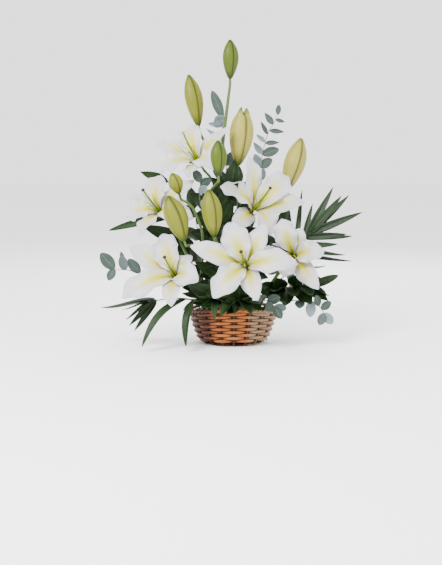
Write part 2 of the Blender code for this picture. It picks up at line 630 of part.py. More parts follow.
# foot in the foam and lean, stem path, then leaves as base, tip, width, facing and outline
SPRIGS = {
    "eucalyptus_left": dict(
        foot=(-0.054, 0.012), lean=(-0.004, 0.001), key="eucalyptus",
        path=[(-0.090, 0.020, 0.104), (-0.130, 0.010, 0.122), (-0.170, -0.004, 0.136),
              (-0.205, -0.014, 0.146), (-0.236, -0.019, 0.150)],
        leaves=[((-0.236, -0.019, 0.150), (-0.262, -0.020, 0.181), 0.025, FRONT, OVAL),
                ((-0.236, -0.019, 0.150), (-0.246, -0.030, 0.128), 0.018, FRONT, OVAL),
                ((-0.214, -0.016, 0.148), (-0.221, -0.030, 0.177), 0.019, FRONT, OVAL),
                ((-0.214, -0.016, 0.148), (-0.224, 0.004, 0.182), 0.012, FRONT, OVAL),
                ((-0.186, -0.009, 0.141), (-0.207, -0.022, 0.170), 0.021, FRONT, OVAL),
                ((-0.160, -0.001, 0.132), (-0.168, 0.020, 0.160), 0.020, BACK, OVAL)]),
    "palm_left": dict(
        foot=(-0.056, -0.020), lean=(-0.003, -0.001), key="leaf", radius=0.0017,
        path=[(-0.086, -0.036, 0.091), (-0.125, -0.048, 0.094), (-0.165, -0.052, 0.088)],
        leaves=[((-0.150, -0.050, 0.091), (-0.261, -0.030, 0.075), 0.017, UP, dict(along=5)),
                ((-0.165, -0.052, 0.088), (-0.218, -0.062, 0.074), 0.008, UP, BLADE),
                ((-0.162, -0.052, 0.088), (-0.209, -0.082, 0.057), 0.008, UP, BLADE),
                ((-0.156, -0.051, 0.089), (-0.203, -0.070, 0.044), 0.008, FRONT, BLADE),
                ((-0.150, -0.050, 0.090), (-0.195, -0.048, 0.030), 0.008, FRONT, BLADE)]),
    "palm_right": dict(
        foot=(0.052, 0.008), lean=(0.004, 0.001), key="leaf", radius=0.0018,
        path=[(0.084, 0.018, 0.130), (0.112, 0.014, 0.170), (0.135, 0.008, 0.198),
              (0.156, 0.004, 0.222)],
        leaves=[((0.140, 0.008, 0.205), (0.160, 0.030, 0.277), 0.007, FRONT, BLADE),
                ((0.148, 0.005, 0.214), (0.200, 0.020, 0.310), 0.010, FRONT, BLADE),
                ((0.152, 0.005, 0.218), (0.214, -0.010, 0.294), 0.010, FRONT, BLADE),
                ((0.1555, 0.004, 0.2215), (0.232, 0.022, 0.294), 0.010, FRONT, BLADE),
                ((0.154, 0.004, 0.2195), (0.254, -0.020, 0.262), 0.010, FRONT, BLADE),
                ((0.1465, 0.006, 0.211), (0.223, -0.026, 0.219), 0.009, FRONT, BLADE),
                ((0.143, 0.006, 0.207), (0.238, 0.000, 0.214), 0.010, UP, BLADE),
                ((0.130, 0.009, 0.192), (0.206, -0.030, 0.200), 0.009, FRONT, BLADE),
                ((0.122, 0.011, 0.182), (0.222, -0.020, 0.178), 0.010, UP, BLADE),
                ((0.114, 0.013, 0.172), (0.238, 0.004, 0.164), 0.010, UP, BLADE),
                ((0.125, 0.010, 0.186), (0.140, 0.046, 0.304), 0.007, FRONT, BLADE),
                ((0.108, 0.014, 0.164), (0.115, 0.034, 0.262), 0.011, FRONT, BLADE)]),
    "long_leaf_left": dict(
        foot=(-0.044, -0.040), lean=(-0.004, -0.003), key="leaf", radius=0.0018,
        path=[(-0.066, -0.058, 0.092), (-0.092, -0.070, 0.095)],
        leaves=[((-0.092, -0.070, 0.095), (-0.174, -0.130, 0.011), 0.023, (-0.6, -0.5, 0.7),
                 dict(along=7, sag=-0.016, fold=0.3))]),
    "long_leaf_front": dict(
        foot=(-0.032, -0.054), lean=(-0.003, -0.003), key="leaf", radius=0.0018,
        path=[(-0.056, -0.078, 0.090), (-0.078, -0.094, 0.096)],
        leaves=[((-0.078, -0.094, 0.096), (-0.0905, -0.131, 0.012), 0.017, (-0.4, -0.9, 0.4),
                 dict(along=7, sag=-0.012, fold=0.3))]),
    "rim_leaf_left": dict(
        foot=(-0.052, -0.040), lean=(-0.004, -0.003), key="leaf", radius=0.0013,
        path=[(-0.062, -0.048, 0.084)],
        leaves=[((-0.062, -0.048, 0.084), (-0.098, -0.056, 0.071), 0.026, UP,
                 dict(along=4, blunt=True, sag=-0.005))]),
    "eucalyptus_top": dict(
        foot=(-0.004, 0.040), lean=(0.0, 0.001), key="eucalyptus",
        path=[(-0.006, 0.054, 0.200), (-0.012, 0.060, 0.330), (-0.020, 0.060, 0.420),
              (-0.021, 0.060, 0.450)],
        leaves=[((-0.021, 0.060, 0.450), (-0.042, 0.060, 0.503), 0.020, FRONT, OVAL),
                ((-0.020, 0.060, 0.434), (-0.034, 0.044, 0.452), 0.027, FRONT, OVAL),
                ((-0.020, 0.060, 0.432), (-0.050, 0.052, 0.438), 0.013, FRONT),
                ((-0.018, 0.060, 0.400), (-0.054, 0.090, 0.428), 0.011, FRONT),
                ((-0.016, 0.060, 0.385), (-0.046, 0.066, 0.398), 0.020, BACK, OVAL),
                ((-0.014, 0.060, 0.355), (0.006, 0.090, 0.380), 0.022, BACK, OVAL),
                ((-0.011, 0.060, 0.320), (-0.040, 0.076, 0.344), 0.022, BACK, OVAL)]),
    "eucalyptus_upper_right": dict(
        foot=(0.012, 0.044), lean=(0.001, 0.001), key="eucalyptus", radius=0.0011,
        path=[(0.028, 0.064, 0.180), (0.046, 0.080, 0.290), (0.060, 0.082, 0.372),
              (0.071, 0.081, 0.416), (0.082, 0.080, 0.436), (0.092, 0.080, 0.457)],
        leaves=[((0.092, 0.080, 0.456), (0.094, 0.078, 0.476), 0.011, FRONT, OVAL),
                ((0.088, 0.080, 0.446), (0.106, 0.076, 0.441), 0.008, FRONT),
                ((0.082, 0.080, 0.436), (0.065, 0.078, 0.460), 0.013, FRONT),
                ((0.075, 0.081, 0.424), (0.105, 0.078, 0.421), 0.010, FRONT),
                ((0.071, 0.081, 0.416), (0.057, 0.074, 0.442), 0.009, FRONT),
                ((0.067, 0.081, 0.400), (0.048, 0.076, 0.416), 0.010, FRONT),
                ((0.067, 0.081, 0.398), (0.095, 0.078, 0.400), 0.010, FRONT),
                ((0.061, 0.082, 0.376), (0.094, 0.074, 0.386), 0.020, FRONT, OVAL),
                ((0.061, 0.082, 0.376), (0.042, 0.072, 0.400), 0.013, FRONT),
                ((0.056, 0.082, 0.350), (0.044, 0.062, 0.376), 0.018, FRONT, OVAL),
                ((0.056, 0.082, 0.350), (0.080, 0.070, 0.366), 0.020, FRONT, OVAL),
                ((0.051, 0.081, 0.322), (0.064, 0.062, 0.346), 0.020, FRONT, OVAL)]),
    "eucalyptus_middle": dict(
        foot=(-0.030, 0.004), lean=(-0.002, 0.0), key="eucalyptus",
        path=[(-0.046, 0.002, 0.150), (-0.058, -0.004, 0.230), (-0.066, -0.018, 0.290),
              (-0.064, -0.036, 0.322)],
        leaves=[((-0.064, -0.036, 0.322), (-0.076, -0.040, 0.345), 0.018, FRONT, OVAL),
                ((-0.065, -0.032, 0.316), (-0.043, -0.044, 0.328), 0.018, FRONT, OVAL),
                ((-0.066, -0.022, 0.298), (-0.052, -0.044, 0.314), 0.018, FRONT, OVAL),
                ((-0.063, -0.012, 0.270), (-0.040, -0.034, 0.292), 0.022, FRONT, OVAL)]),
    "eucalyptus_rim": dict(
        foot=(0.040, -0.044), lean=(0.003, -0.003), key="eucalyptus",
        path=[(0.056, -0.066, 0.091), (0.070, -0.082, 0.092), (0.080, -0.094, 0.082)],
        leaves=[((0.056, -0.066, 0.091), (0.050, -0.092, 0.106), 0.022, FRONT, OVAL),
                ((0.066, -0.078, 0.092), (0.090, -0.090, 0.102), 0.020, FRONT, OVAL),
                ((0.074, -0.088, 0.089), (0.064, -0.110, 0.078), 0.022, FRONT, OVAL),
                ((0.080, -0.094, 0.082), (0.092, -0.102, 0.062), 0.018, FRONT, OVAL),
                ((0.079, -0.092, 0.084), (0.102, -0.092, 0.080), 0.016, FRONT, OVAL)]),
    "eucalyptus_right": dict(
        foot=(0.054, -0.024), lean=(0.004, -0.002), key="eucalyptus",
        path=[(0.088, -0.040, 0.087), (0.126, -0.056, 0.091), (0.154, -0.062, 0.090),
              (0.168, -0.063, 0.080), (0.178, -0.062, 0.066)],
        leaves=[((0.152, -0.062, 0.090), (0.150, -0.066, 0.060), 0.020, FRONT, OVAL),
                ((0.166, -0.063, 0.081), (0.160, -0.078, 0.104), 0.015, FRONT, OVAL),
                ((0.172, -0.063, 0.075), (0.190, -0.064, 0.090), 0.016, FRONT, OVAL),
                ((0.178, -0.062, 0.067), (0.168, -0.064, 0.044), 0.018, FRONT, OVAL),
                ((0.178, -0.062, 0.067), (0.194, -0.060, 0.046), 0.019, FRONT, OVAL),
                ((0.130, -0.057, 0.091), (0.128, -0.090, 0.080), 0.020, FRONT, OVAL)]),
    "greenery_right": dict(
        foot=(0.058, -0.008), lean=(0.004, -0.001), key="leaf", radius=0.0016,
        path=[(0.086, -0.014, 0.102), (0.120, -0.020, 0.114), (0.154, -0.034, 0.116)],
        leaves=[((0.154, -0.034, 0.116), (0.188, -0.050, 0.100), 0.026, UP),
                ((0.152, -0.033, 0.116), (0.206, -0.042, 0.139), 0.017, FRONT, OVAL),
                ((0.136, -0.027, 0.115), (0.150, -0.094, 0.106), 0.030, UP),
                ((0.118, -0.020, 0.114), (0.116, -0.096, 0.104), 0.032, UP),
                ((0.098, -0.016, 0.107), (0.074, -0.080, 0.114), 0.028, UP),
                ((0.126, -0.022, 0.115), (0.164, 0.034, 0.104), 0.030, UP),
                ((0.100, -0.016, 0.108), (0.124, 0.052, 0.104), 0.032, UP),
                ((0.110, -0.018, 0.111), (0.100, -0.090, 0.085), 0.038, LOW),
                ((0.125, -0.022, 0.114), (0.150, -0.085, 0.088), 0.036, LOW),
                ((0.140, -0.028, 0.115), (0.185, -0.060, 0.092), 0.034, LOW),
                ((0.120, -0.020, 0.114), (0.130, -0.060, 0.140), 0.034, FRONT),
                ((0.095, -0.015, 0.105), (0.085, -0.055, 0.135), 0.034, FRONT),
                ((0.140, -0.028, 0.115), (0.165, -0.055, 0.135), 0.030, FRONT),
                ((0.088, -0.014, 0.102), (0.045, -0.050, 0.120), 0.034, FRONT)]),
    "greenery_front": dict(
        foot=(0.012, -0.052), lean=(0.0, -0.003), key="leaf", radius=0.0014,
        path=[(0.013, -0.064, 0.094)],
        leaves=[((0.013, -0.064, 0.094), (-0.026, -0.110, 0.066), 0.026, UP, dict(sag=-0.012)),
                ((0.013, -0.064, 0.093), (0.034, -0.114, 0.072), 0.028, UP, dict(sag=-0.006)),
                ((0.013, -0.062, 0.090), (0.002, -0.118, 0.074), 0.022, UP, dict(sag=-0.006)),
                ((0.013, -0.062, 0.090), (0.050, -0.108, 0.093), 0.024, UP)]),
    "greenery_front_left": dict(
        foot=(-0.010, -0.048), lean=(-0.002, -0.003), key="leaf", radius=0.0014,
        path=[(-0.022, -0.064, 0.090), (-0.034, -0.074, 0.096)],
        leaves=[((-0.034, -0.074, 0.096), (-0.037, -0.112, 0.058), 0.013, FRONT, dict(sag=-0.008)),
                ((-0.032, -0.072, 0.095), (-0.070, -0.104, 0.106), 0.026, UP),
                ((-0.026, -0.067, 0.092), (-0.014, -0.110, 0.108), 0.022, UP)]),
    "greenery_centre": dict(
        foot=(0.002, -0.002), lean=(0.0, 0.0), key="leaf", radius=0.0016,
        path=[(-0.004, -0.004, 0.120), (-0.018, -0.004, 0.180), (-0.026, -0.004, 0.240),
              (-0.030, -0.008, 0.290)],
        leaves=[((-0.030, -0.008, 0.290), (-0.024, -0.030, 0.334), 0.028, FRONT),
                ((-0.028, -0.006, 0.262), (-0.052, -0.030, 0.258), 0.020, FRONT),
                ((-0.026, -0.004, 0.240), (-0.004, -0.040, 0.286), 0.030, FRONT),
                ((-0.024, -0.004, 0.220), (-0.050, -0.016, 0.214), 0.026, FRONT),
                ((-0.018, -0.004, 0.182), (-0.050, 0.022, 0.204), 0.028, FRONT),
                ((-0.010, -0.004, 0.150), (-0.066, -0.034, 0.136), 0.030, FRONT),
                ((-0.018, -0.004, 0.180), (0.034, -0.034, 0.210), 0.028, FRONT),
                ((-0.022, -0.004, 0.205), (-0.085, -0.030, 0.225), 0.036, FRONT),
                ((-0.024, -0.004, 0.225), (-0.075, -0.040, 0.262), 0.036, FRONT),
                ((-0.026, -0.004, 0.240), (0.020, -0.030, 0.235), 0.034, FRONT)]),
    "greenery_upper": dict(
        foot=(0.004, 0.012), lean=(0.0, 0.001), key="leaf", radius=0.0016,
        path=[(0.005, 0.016, 0.150), (0.001, 0.020, 0.240), (-0.004, 0.022, 0.310)],
        leaves=[((-0.004, 0.022, 0.310), (0.004, 0.012, 0.366), 0.030, FRONT),
                ((-0.002, 0.021, 0.290), (-0.044, 0.008, 0.330), 0.028, FRONT),
                ((0.001, 0.020, 0.240), (0.046, 0.050, 0.280), 0.030, BACK),
                ((0.001, 0.020, 0.244), (-0.040, 0.048, 0.276), 0.030, BACK),
                ((-0.002, 0.021, 0.290), (0.040, 0.010, 0.320), 0.034, FRONT),
                ((0.001, 0.020, 0.260), (-0.040, 0.000, 0.290), 0.034, FRONT),
                ((0.004, 0.018, 0.200), (0.050, 0.000, 0.230), 0.034, FRONT),
                ((0.004, 0.018, 0.180), (0.060, -0.010, 0.170), 0.034, FRONT),
                ((0.004, 0.018, 0.160), (0.075, 0.010, 0.190), 0.036, FRONT),
                ((0.004, 0.018, 0.150), (0.070, 0.000, 0.130), 0.036, FRONT)]),
    "greenery_left": dict(
        foot=(-0.036, 0.018), lean=(-0.002, 0.001), key="leaf", radius=0.0016,
        path=[(-0.058, 0.034, 0.130), (-0.090, 0.040, 0.200), (-0.112, 0.044, 0.260),
              (-0.130, 0.042, 0.320)],
        leaves=[((-0.130, 0.042, 0.320), (-0.186, 0.030, 0.341), 0.020, FRONT),
                ((-0.110, 0.044, 0.256), (-0.252, 0.046, 0.222), 0.018, FRONT,
                 dict(along=6, sag=-0.012)),
                ((-0.088, 0.040, 0.196), (-0.182, -0.006, 0.236), 0.030, FRONT),
                ((-0.078, 0.038, 0.176), (-0.140, 0.050, 0.172), 0.030, BACK),
                ((-0.122, 0.043, 0.292), (-0.092, 0.078, 0.322), 0.028, BACK)]),
}

BACK_SPRIGS = {
    "back_greenery_left": dict(
        foot=(-0.030, 0.046), lean=(-0.002, 0.003),
        path=[(-0.046, 0.084, 0.130), (-0.068, 0.104, 0.200), (-0.080, 0.110, 0.262)],
        count=6, length=0.062, width=0.032, shape=dict(sag=-0.004)),
    "back_greenery_middle": dict(
        foot=(0.000, 0.056), lean=(0.0, 0.003),
        path=[(0.004, 0.096, 0.150), (0.008, 0.112, 0.230), (0.010, 0.112, 0.310)],
        count=7, length=0.058, width=0.031, shape=dict(sag=-0.004)),
    "back_greenery_right": dict(
        foot=(0.034, 0.044), lean=(0.002, 0.003),
        path=[(0.062, 0.084, 0.124), (0.088, 0.106, 0.176), (0.104, 0.112, 0.226)],
        count=6, length=0.056, width=0.031, shape=dict(sag=-0.004)),
}

BACK_PALMS = {
    "palm_back_left": dict(
        foot=(-0.050, 0.032), lean=(-0.003, 0.002),
        path=[(-0.082, 0.062, 0.112), (-0.116, 0.088, 0.140), (-0.136, 0.104, 0.150)],
        tips=[(-0.206, 0.128, 0.118), (-0.196, 0.150, 0.152), (-0.172, 0.172, 0.178),
              (-0.190, 0.110, 0.186), (-0.150, 0.178, 0.132), (-0.122, 0.176, 0.100)]),
    "palm_back_right": dict(
        foot=(0.050, 0.030), lean=(0.003, 0.002),
        path=[(0.084, 0.060, 0.108), (0.116, 0.082, 0.132), (0.136, 0.094, 0.140)],
        tips=[(0.202, 0.118, 0.110), (0.198, 0.142, 0.142), (0.176, 0.168, 0.164),
              (0.186, 0.102, 0.172), (0.154, 0.170, 0.118), (0.128, 0.168, 0.090)]),
}


def make_foliage(place, bores):
    for name, given in SPRIGS.items():
        sprig(name, given["foot"], given["path"], given["leaves"], place, bores, given["key"],
              given.get("radius", 0.0013), given["lean"])
    for name, given in BACK_SPRIGS.items():
        leaves = paired_leaves(given["path"], 0.05, given["count"], given["length"],
                               given["width"], BACK, **given["shape"])
        sprig(name, given["foot"], given["path"], leaves, place, bores, "leaf", 0.0016,
              given["lean"])
    for name, given in BACK_PALMS.items():
        root, shoot = Vector(given["path"][-2]), Vector(given["path"][-1])
        count = len(given["tips"])
        leaves = [(shoot.lerp(root, (k + 0.4) / count), tip, 0.011, UP, BLADE)
                  for k, tip in enumerate(given["tips"])]
        sprig(name, given["foot"], given["path"], leaves, place, bores, "leaf", 0.0017,
              given["lean"])


def main():
    clear_scene()
    place = collection("lilies_in_basket")
    ends, bores = {}, []
    make_basket(place)
    for name, given in LILIES.items():
        ends[name] = make_lily(name, given, place)
    for name, (base, tip, width) in BUDS.items():
        ends[name] = make_bud(name, base, tip, width, place)
    for name, given in LILY_STEMS.items():
        make_lily_stem(name, given, ends, place, bores)
    make_foliage(place, bores)
    make_foam(place, bores)


main()
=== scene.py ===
"""Lilies in a basket: six open white lilies, eight buds and cut foliage in a woven willow basket.

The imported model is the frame. Each class below measures its own CAD nodes, builds the fine piece
that stands for them and dresses it in its finish. Lengths are in metres, +Z is up, and the open
faces of the flowers look towards -Y.
"""

from __future__ import annotations

import json
import logging
import math
import random
from dataclasses import dataclass, field
from enum import Enum
from typing import Callable, Iterable, Sequence

import bmesh
import bpy
import numpy as np
from mathutils import Matrix, Vector

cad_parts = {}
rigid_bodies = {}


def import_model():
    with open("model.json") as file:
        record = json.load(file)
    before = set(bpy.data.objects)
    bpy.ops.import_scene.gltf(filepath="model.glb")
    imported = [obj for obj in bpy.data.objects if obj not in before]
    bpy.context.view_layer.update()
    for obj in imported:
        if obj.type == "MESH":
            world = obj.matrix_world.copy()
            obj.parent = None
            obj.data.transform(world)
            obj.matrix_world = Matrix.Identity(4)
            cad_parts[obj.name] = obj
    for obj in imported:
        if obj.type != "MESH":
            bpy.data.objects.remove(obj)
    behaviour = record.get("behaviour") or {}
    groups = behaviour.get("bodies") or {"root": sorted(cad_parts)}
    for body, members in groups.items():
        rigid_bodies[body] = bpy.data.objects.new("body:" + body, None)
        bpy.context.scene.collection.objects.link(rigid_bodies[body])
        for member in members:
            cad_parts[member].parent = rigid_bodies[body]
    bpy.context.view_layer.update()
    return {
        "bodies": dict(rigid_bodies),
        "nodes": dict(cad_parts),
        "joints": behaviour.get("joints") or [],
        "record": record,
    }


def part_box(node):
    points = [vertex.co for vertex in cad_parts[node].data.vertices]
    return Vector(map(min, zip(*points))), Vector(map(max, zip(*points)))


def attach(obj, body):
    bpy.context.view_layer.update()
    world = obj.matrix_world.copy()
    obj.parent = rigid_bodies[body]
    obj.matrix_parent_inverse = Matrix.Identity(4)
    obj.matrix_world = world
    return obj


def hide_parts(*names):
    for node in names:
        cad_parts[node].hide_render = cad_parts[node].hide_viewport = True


LOG = logging.getLogger("lilies_in_a_basket")
BODY = "root"
SEED = 24
LEAF_THICKNESS = 0.0006
LEAF_TILT = 0.22
LEAFLET_WIDTH = 0.011
Mesh, Material = bpy.types.Mesh, bpy.types.Material
Node, NodeTree, Obj, Socket = (bpy.types.Node, bpy.types.NodeTree, bpy.types.Object,
                               bpy.types.NodeSocket)
Point = Sequence[float]
Colour = tuple[float, float, float]
Surface = Callable[[float, float], Vector]


# ------------------------------------------------------------------ named options

# the ways that the upper side of a leaf faces
UP, FRONT, BACK, LOW = (0, 0, 1), (0, -1, 0.2), (0, 1, 0.3), (0, -0.6, 0.8)


class LeafShape(Enum):
    """The outlines of the leaves, in the order of their instances."""

    OVATE = 0
    ROUND = 1
    BLADE = 2
    STRAP = 3

    @property
    def grid(self) -> tuple[int, int]:
        """Faces along and across one leaf."""
        return {"OVATE": (16, 8), "ROUND": (14, 8), "BLADE": (14, 4), "STRAP": (28, 8)}[self.name]


class Plant(Enum):
    """The cut foliage in the basket."""

    GLOSSY = "glossy leaf"
    PALM = "palm leaf"
    STRAP = "strap leaf"
    PALE = "pale leaf"
    EUCALYPTUS = "eucalyptus leaf"


class BudLook(Enum):
    """How ripe a bud is."""

    GREEN = "green bud"
    LIME = "turning bud"
    CREAM = "ripe bud"


# ------------------------------------------------------------------ small geometry helpers

def metres(*lengths: float) -> tuple[float, ...]:
    """Lengths in metres, from millimetres."""
    return tuple(length / 1000 for length in lengths)


def points(*rows: Point) -> list[Point]:
    """Points in metres, from rows in millimetres."""
    return [metres(*row) for row in rows]


def smoothed(points: Iterable[Point], steps: int) -> list[Vector]:
    """Catmull-Rom points through the given ones.

    Args:
        points: The points that the line passes through.
        steps: Points made for each stretch between two given points.

    Returns:
        The finer line, its two ends kept.
    """
    given = [Vector(p) for p in points]
    padded = [given[0] * 2 - given[1], *given, given[-1] * 2 - given[-2]]
    line = []
    for k in range(len(given) - 1):
        a, b, c, d = padded[k:k + 4]
        for s in range(steps):
            t = s / steps
            line.append(0.5 * (2 * b + (c - a) * t + (2 * a - 5 * b + 4 * c - d) * t * t
                               + (3 * b - a - 3 * c + d) * t ** 3))
    return line + [given[-1]]


def nearest_on(path: Sequence[Vector], point: Point) -> Vector:
    """The point of a stem's line that is nearest to a leaf's base.

    Args:
        path: The stem's line.
        point: The leaf's base.

    Returns:
        The point on the line.
    """
    best, found = math.inf, path[0]
    for a, b in zip(path, path[1:]):
        share = (Vector(point) - a).dot(b - a) / (b - a).length_squared
        spot = a.lerp(b, max(0.0, min(1.0, share)))
        if (spot - Vector(point)).length < best:
            best, found = (spot - Vector(point)).length, spot
    return found


def bezier(a: float, b: float, c: float, d: float, t: float) -> float:
    """A cubic Bezier curve's value at t."""
    s = 1 - t
    return s * s * s * a + 3 * s * s * t * b + 3 * s * t * t * c + t * t * t * d


def smoothstep(low: float, high: float, value: float) -> float:
    """0 below low, 1 above high, and a smooth rise between them."""
    t = max(0.0, min(1.0, (value - low) / (high - low)))
    return t * t * (3 - 2 * t)


def node_points(node: Obj) -> np.ndarray:
    """An object's vertices, as rows of x, y and z."""
    flat = np.empty(len(node.data.vertices) * 3)
    node.data.vertices.foreach_get("co", flat)
    return flat.reshape(-1, 3)


def link(obj: Obj) -> Obj:
    """Put an object in the scene."""
    bpy.context.scene.collection.objects.link(obj)
    return obj


def mesh_object(name: str, points: Sequence[Point], edges: Sequence[tuple[int, int]],
                faces: Sequence[Sequence[int]]) -> Obj:
    """A linked mesh object.

    Args:
        name: The object's name.
        points: Its vertices.
        edges: Its loose edges, as pairs of vertex numbers.
        faces: Its faces, as rows of vertex numbers.

    Returns:
        The object.
    """
    mesh = bpy.data.meshes.new(name)
    mesh.from_pydata([tuple(p) for p in points], list(edges), [tuple(f) for f in faces])
    return link(bpy.data.objects.new(name, mesh))


def baked(obj: Obj) -> Obj:
    """Turn an object's modifiers into plain mesh.

    Args:
        obj: A mesh object with modifiers.

    Returns:
        The same object, with the evaluated mesh and no modifiers.
    """
    bpy.context.view_layer.update()
    graph = bpy.context.evaluated_depsgraph_get()
    mesh = bpy.data.meshes.new_from_object(obj.evaluated_get(graph), depsgraph=graph)
    obj.modifiers.clear()
    obj.data = mesh
    mesh.name = obj.name
    mesh.shade_smooth()
    return obj


def joined(name: str, pieces: Sequence[Obj]) -> Obj:
    """Join plain meshes into one object, with their attributes and material slots.

    Args:
        name: The joined object's name.
        pieces: The objects, of which the first one stays.

    Returns:
        The joined object.
    """
    with bpy.context.temp_override(active_object=pieces[0], object=pieces[0],
                                   selected_objects=list(pieces),
                                   selected_editable_objects=list(pieces)):
        bpy.ops.object.join()
    pieces[0].name = name
    return pieces[0]


def store(obj: Obj, name: str, values: Sequence[float]) -> None:
    """Store one number for each vertex as a named attribute."""
    data = obj.data.attributes.new(name, "FLOAT", "POINT").data
    data.foreach_set("value", np.asarray(values, dtype=np.float32))


def store_vectors(obj: Obj, name: str, values: Sequence[Point]) -> None:
    """Store one vector for each vertex as a named attribute."""
    data = obj.data.attributes.new(name, "FLOAT_VECTOR", "POINT").data
    data.foreach_set("vector", np.asarray(values, dtype=np.float32).ravel())


def grid_mesh(name: str, surface: Surface, along: int, across: int
              ) -> tuple[Mesh, list[tuple[float, float]]]:
    """A grid of faces over a surface, with a UV map that follows it.

    Args:
        name: The mesh's name.
        surface: Point for u from 0 to 1 along and v from -1 to 1 across.
        along: Faces along.
        across: Faces across.

    Returns:
        The mesh, and u and v of each of its vertices.
    """
    rows = [(i / along, 2 * j / across - 1) for i in range(along + 1) for j in range(across + 1)]
    wide = across + 1
    faces = [(i * wide + j, (i + 1) * wide + j, (i + 1) * wide + j + 1, i * wide + j + 1)
             for i in range(along) for j in range(across)]
    mesh = bpy.data.meshes.new(name)
    mesh.from_pydata([tuple(surface(u, v)) for u, v in rows], [], faces)
    layer = mesh.uv_layers.new(name="UVMap").data
    for loop in mesh.loops:
        u, v = rows[loop.vertex_index]
        layer[loop.index].uv = (u, (v + 1) / 2)
    return mesh, rows


def thickened(obj: Obj, thickness: float) -> Obj:
    """Bake an object with thickness given to both sides of its faces.

    Args:
        obj: An object of open faces, which may have modifiers.
        thickness: The whole thickness.

    Returns:
        The same object, closed.
    """
    skin = obj.modifiers.new("thickness", "SOLIDIFY")
    skin.thickness = thickness
    skin.offset = 0
    return facing_out(baked(obj))


def facing_out(obj: Obj) -> Obj:
    """Merge a closed mesh's doubles and turn its faces outwards.

    Args:
        obj: The object.

    Returns:
        The same object.
    """
    work = bmesh.new()
    work.from_mesh(obj.data)
    bmesh.ops.remove_doubles(work, verts=work.verts, dist=1e-6)
    bmesh.ops.recalc_face_normals(work, faces=work.faces)
    work.to_mesh(obj.data)
    work.free()
    obj.data.shade_smooth()
    return obj


def dress(obj: Obj, slot: str, *nodes: str) -> Obj:
    """Ride a finished piece on the body, in the place of its CAD nodes.

    Args:
        obj: The finished piece.
        slot: The record's material slot; not used.
        nodes: CAD nodes that the piece stands for.

    Returns:
        The same piece.
    """
    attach(obj, BODY)
    if nodes:
        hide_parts(*nodes)
    LOG.info("%s: %d faces, stands for %s, largest step from its box %.1f mm", obj.name,
             len(obj.data.polygons), ", ".join(nodes), 1000 * box_step(obj, nodes))
    return obj


def box_step(obj: Obj, nodes: Sequence[str]) -> float:
    """How far a piece's box stands from the box of its CAD nodes.

    Args:
        obj: The piece.
        nodes: The CAD nodes that it stands for.

    Returns:
        The distance at the farthest side.
    """
    spots = node_points(obj)
    boxes = np.array([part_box(node) for node in nodes])
    low, high = boxes[:, 0].min(axis=0), boxes[:, 1].max(axis=0)
    sides = np.abs([spots.min(axis=0) - low, spots.max(axis=0) - high])
    return float(sides.max())


# ------------------------------------------------------------------ node tree helpers

class Tree:
    """Writes a node tree: nodes are made in one call, with their values and links."""

    def __init__(self, tree: NodeTree) -> None:
        """Write into the given tree."""
        self.tree = tree

    def add(self, kind: str, settings: dict | None = None, **values: object) -> Node:
        """Make a node.

        Args:
            kind: The node's type.
            settings: Properties of the node itself.
            values: Inputs by name, with _ for a space; a socket is linked, anything else is set.
                A name like in0 picks the input by its place.

        Returns:
            The new node.
        """
        node = self.tree.nodes.new(kind)
        for key, value in (settings or {}).items():
            setattr(node, key, value)
        for key, value in values.items():
            if key.startswith("in") and key[2:].isdigit():
                socket = node.inputs[int(key[2:])]
            else:
                socket = node.inputs[key.replace("_", " ")]
            if isinstance(value, Socket):
                self.tree.links.new(value, socket)
            else:
                socket.default_value = value
        return node

    def math(self, operation: str, a: object, b: object = 0.0, clamp: bool = False) -> Socket:
        """One Math node's result."""
        return self.add("ShaderNodeMath", {"operation": operation, "use_clamp": clamp},
                        in0=a, in1=b).outputs[0]

    def mix(self, factor: object, a: object, b: object) -> Socket:
        """Mix two colours.

        Args:
            factor: Socket or number: 0 gives a, 1 gives b.
            a: Socket or colour.
            b: Socket or colour.

        Returns:
            The mixed colour.
        """
        node = self.tree.nodes.new("ShaderNodeMix")
        node.data_type = "RGBA"
        for index, value in ((0, factor), (6, a), (7, b)):
            if isinstance(value, Socket):
                self.tree.links.new(value, node.inputs[index])
            elif index == 0:
                node.inputs[0].default_value = value
            else:
                node.inputs[index].default_value = (*value, 1.0)
        return node.outputs[2]

    def ramp(self, value: object, low: float, high: float, start: float = 0.0, end: float = 1.0
             ) -> Socket:
        """A value moved smoothly from one range to another."""
        return self.add("ShaderNodeMapRange", {"interpolation_type": "SMOOTHSTEP"}, in0=value,
                        in1=low, in2=high, in3=start, in4=end).outputs[0]

    def noise(self, vector: object, scale: object, detail: float = 3.0, rough: float = 0.55
              ) -> Socket:
        """Noise from 0 to 1."""
        return self.add("ShaderNodeTexNoise", None, Vector=vector, Scale=scale, Detail=detail,
                        Roughness=rough).outputs["Fac"]

    def attribute(self, name: str, kind: str = "Fac") -> Socket:
        """A named attribute of the piece, read by its material."""
        return self.add("ShaderNodeAttribute", {"attribute_name": name}).outputs[kind]


def node_group(name: str, kind: str, inputs: dict[str, tuple[str, object]],
               outputs: dict[str, str]) -> tuple[Tree, dict, Node]:
    """Start a node group with named sockets.

    Args:
        name: The group's name.
        kind: ShaderNodeTree or GeometryNodeTree.
        inputs: Name to socket type and default value.
        outputs: Name to socket type.

    Returns:
        The tree writer, the input sockets by name, and the output node.
    """
    group = bpy.data.node_groups.new(name, kind)
    for key, (form, value) in inputs.items():
        made = group.interface.new_socket(key, in_out="INPUT", socket_type=form)
        if value is not None:
            made.default_value = value
    for key, form in outputs.items():
        group.interface.new_socket(key, in_out="OUTPUT", socket_type=form)
    start = group.nodes.new("NodeGroupInput")
    end = group.nodes.new("NodeGroupOutput")
    return Tree(group), {key: start.outputs[key] for key in inputs}, end


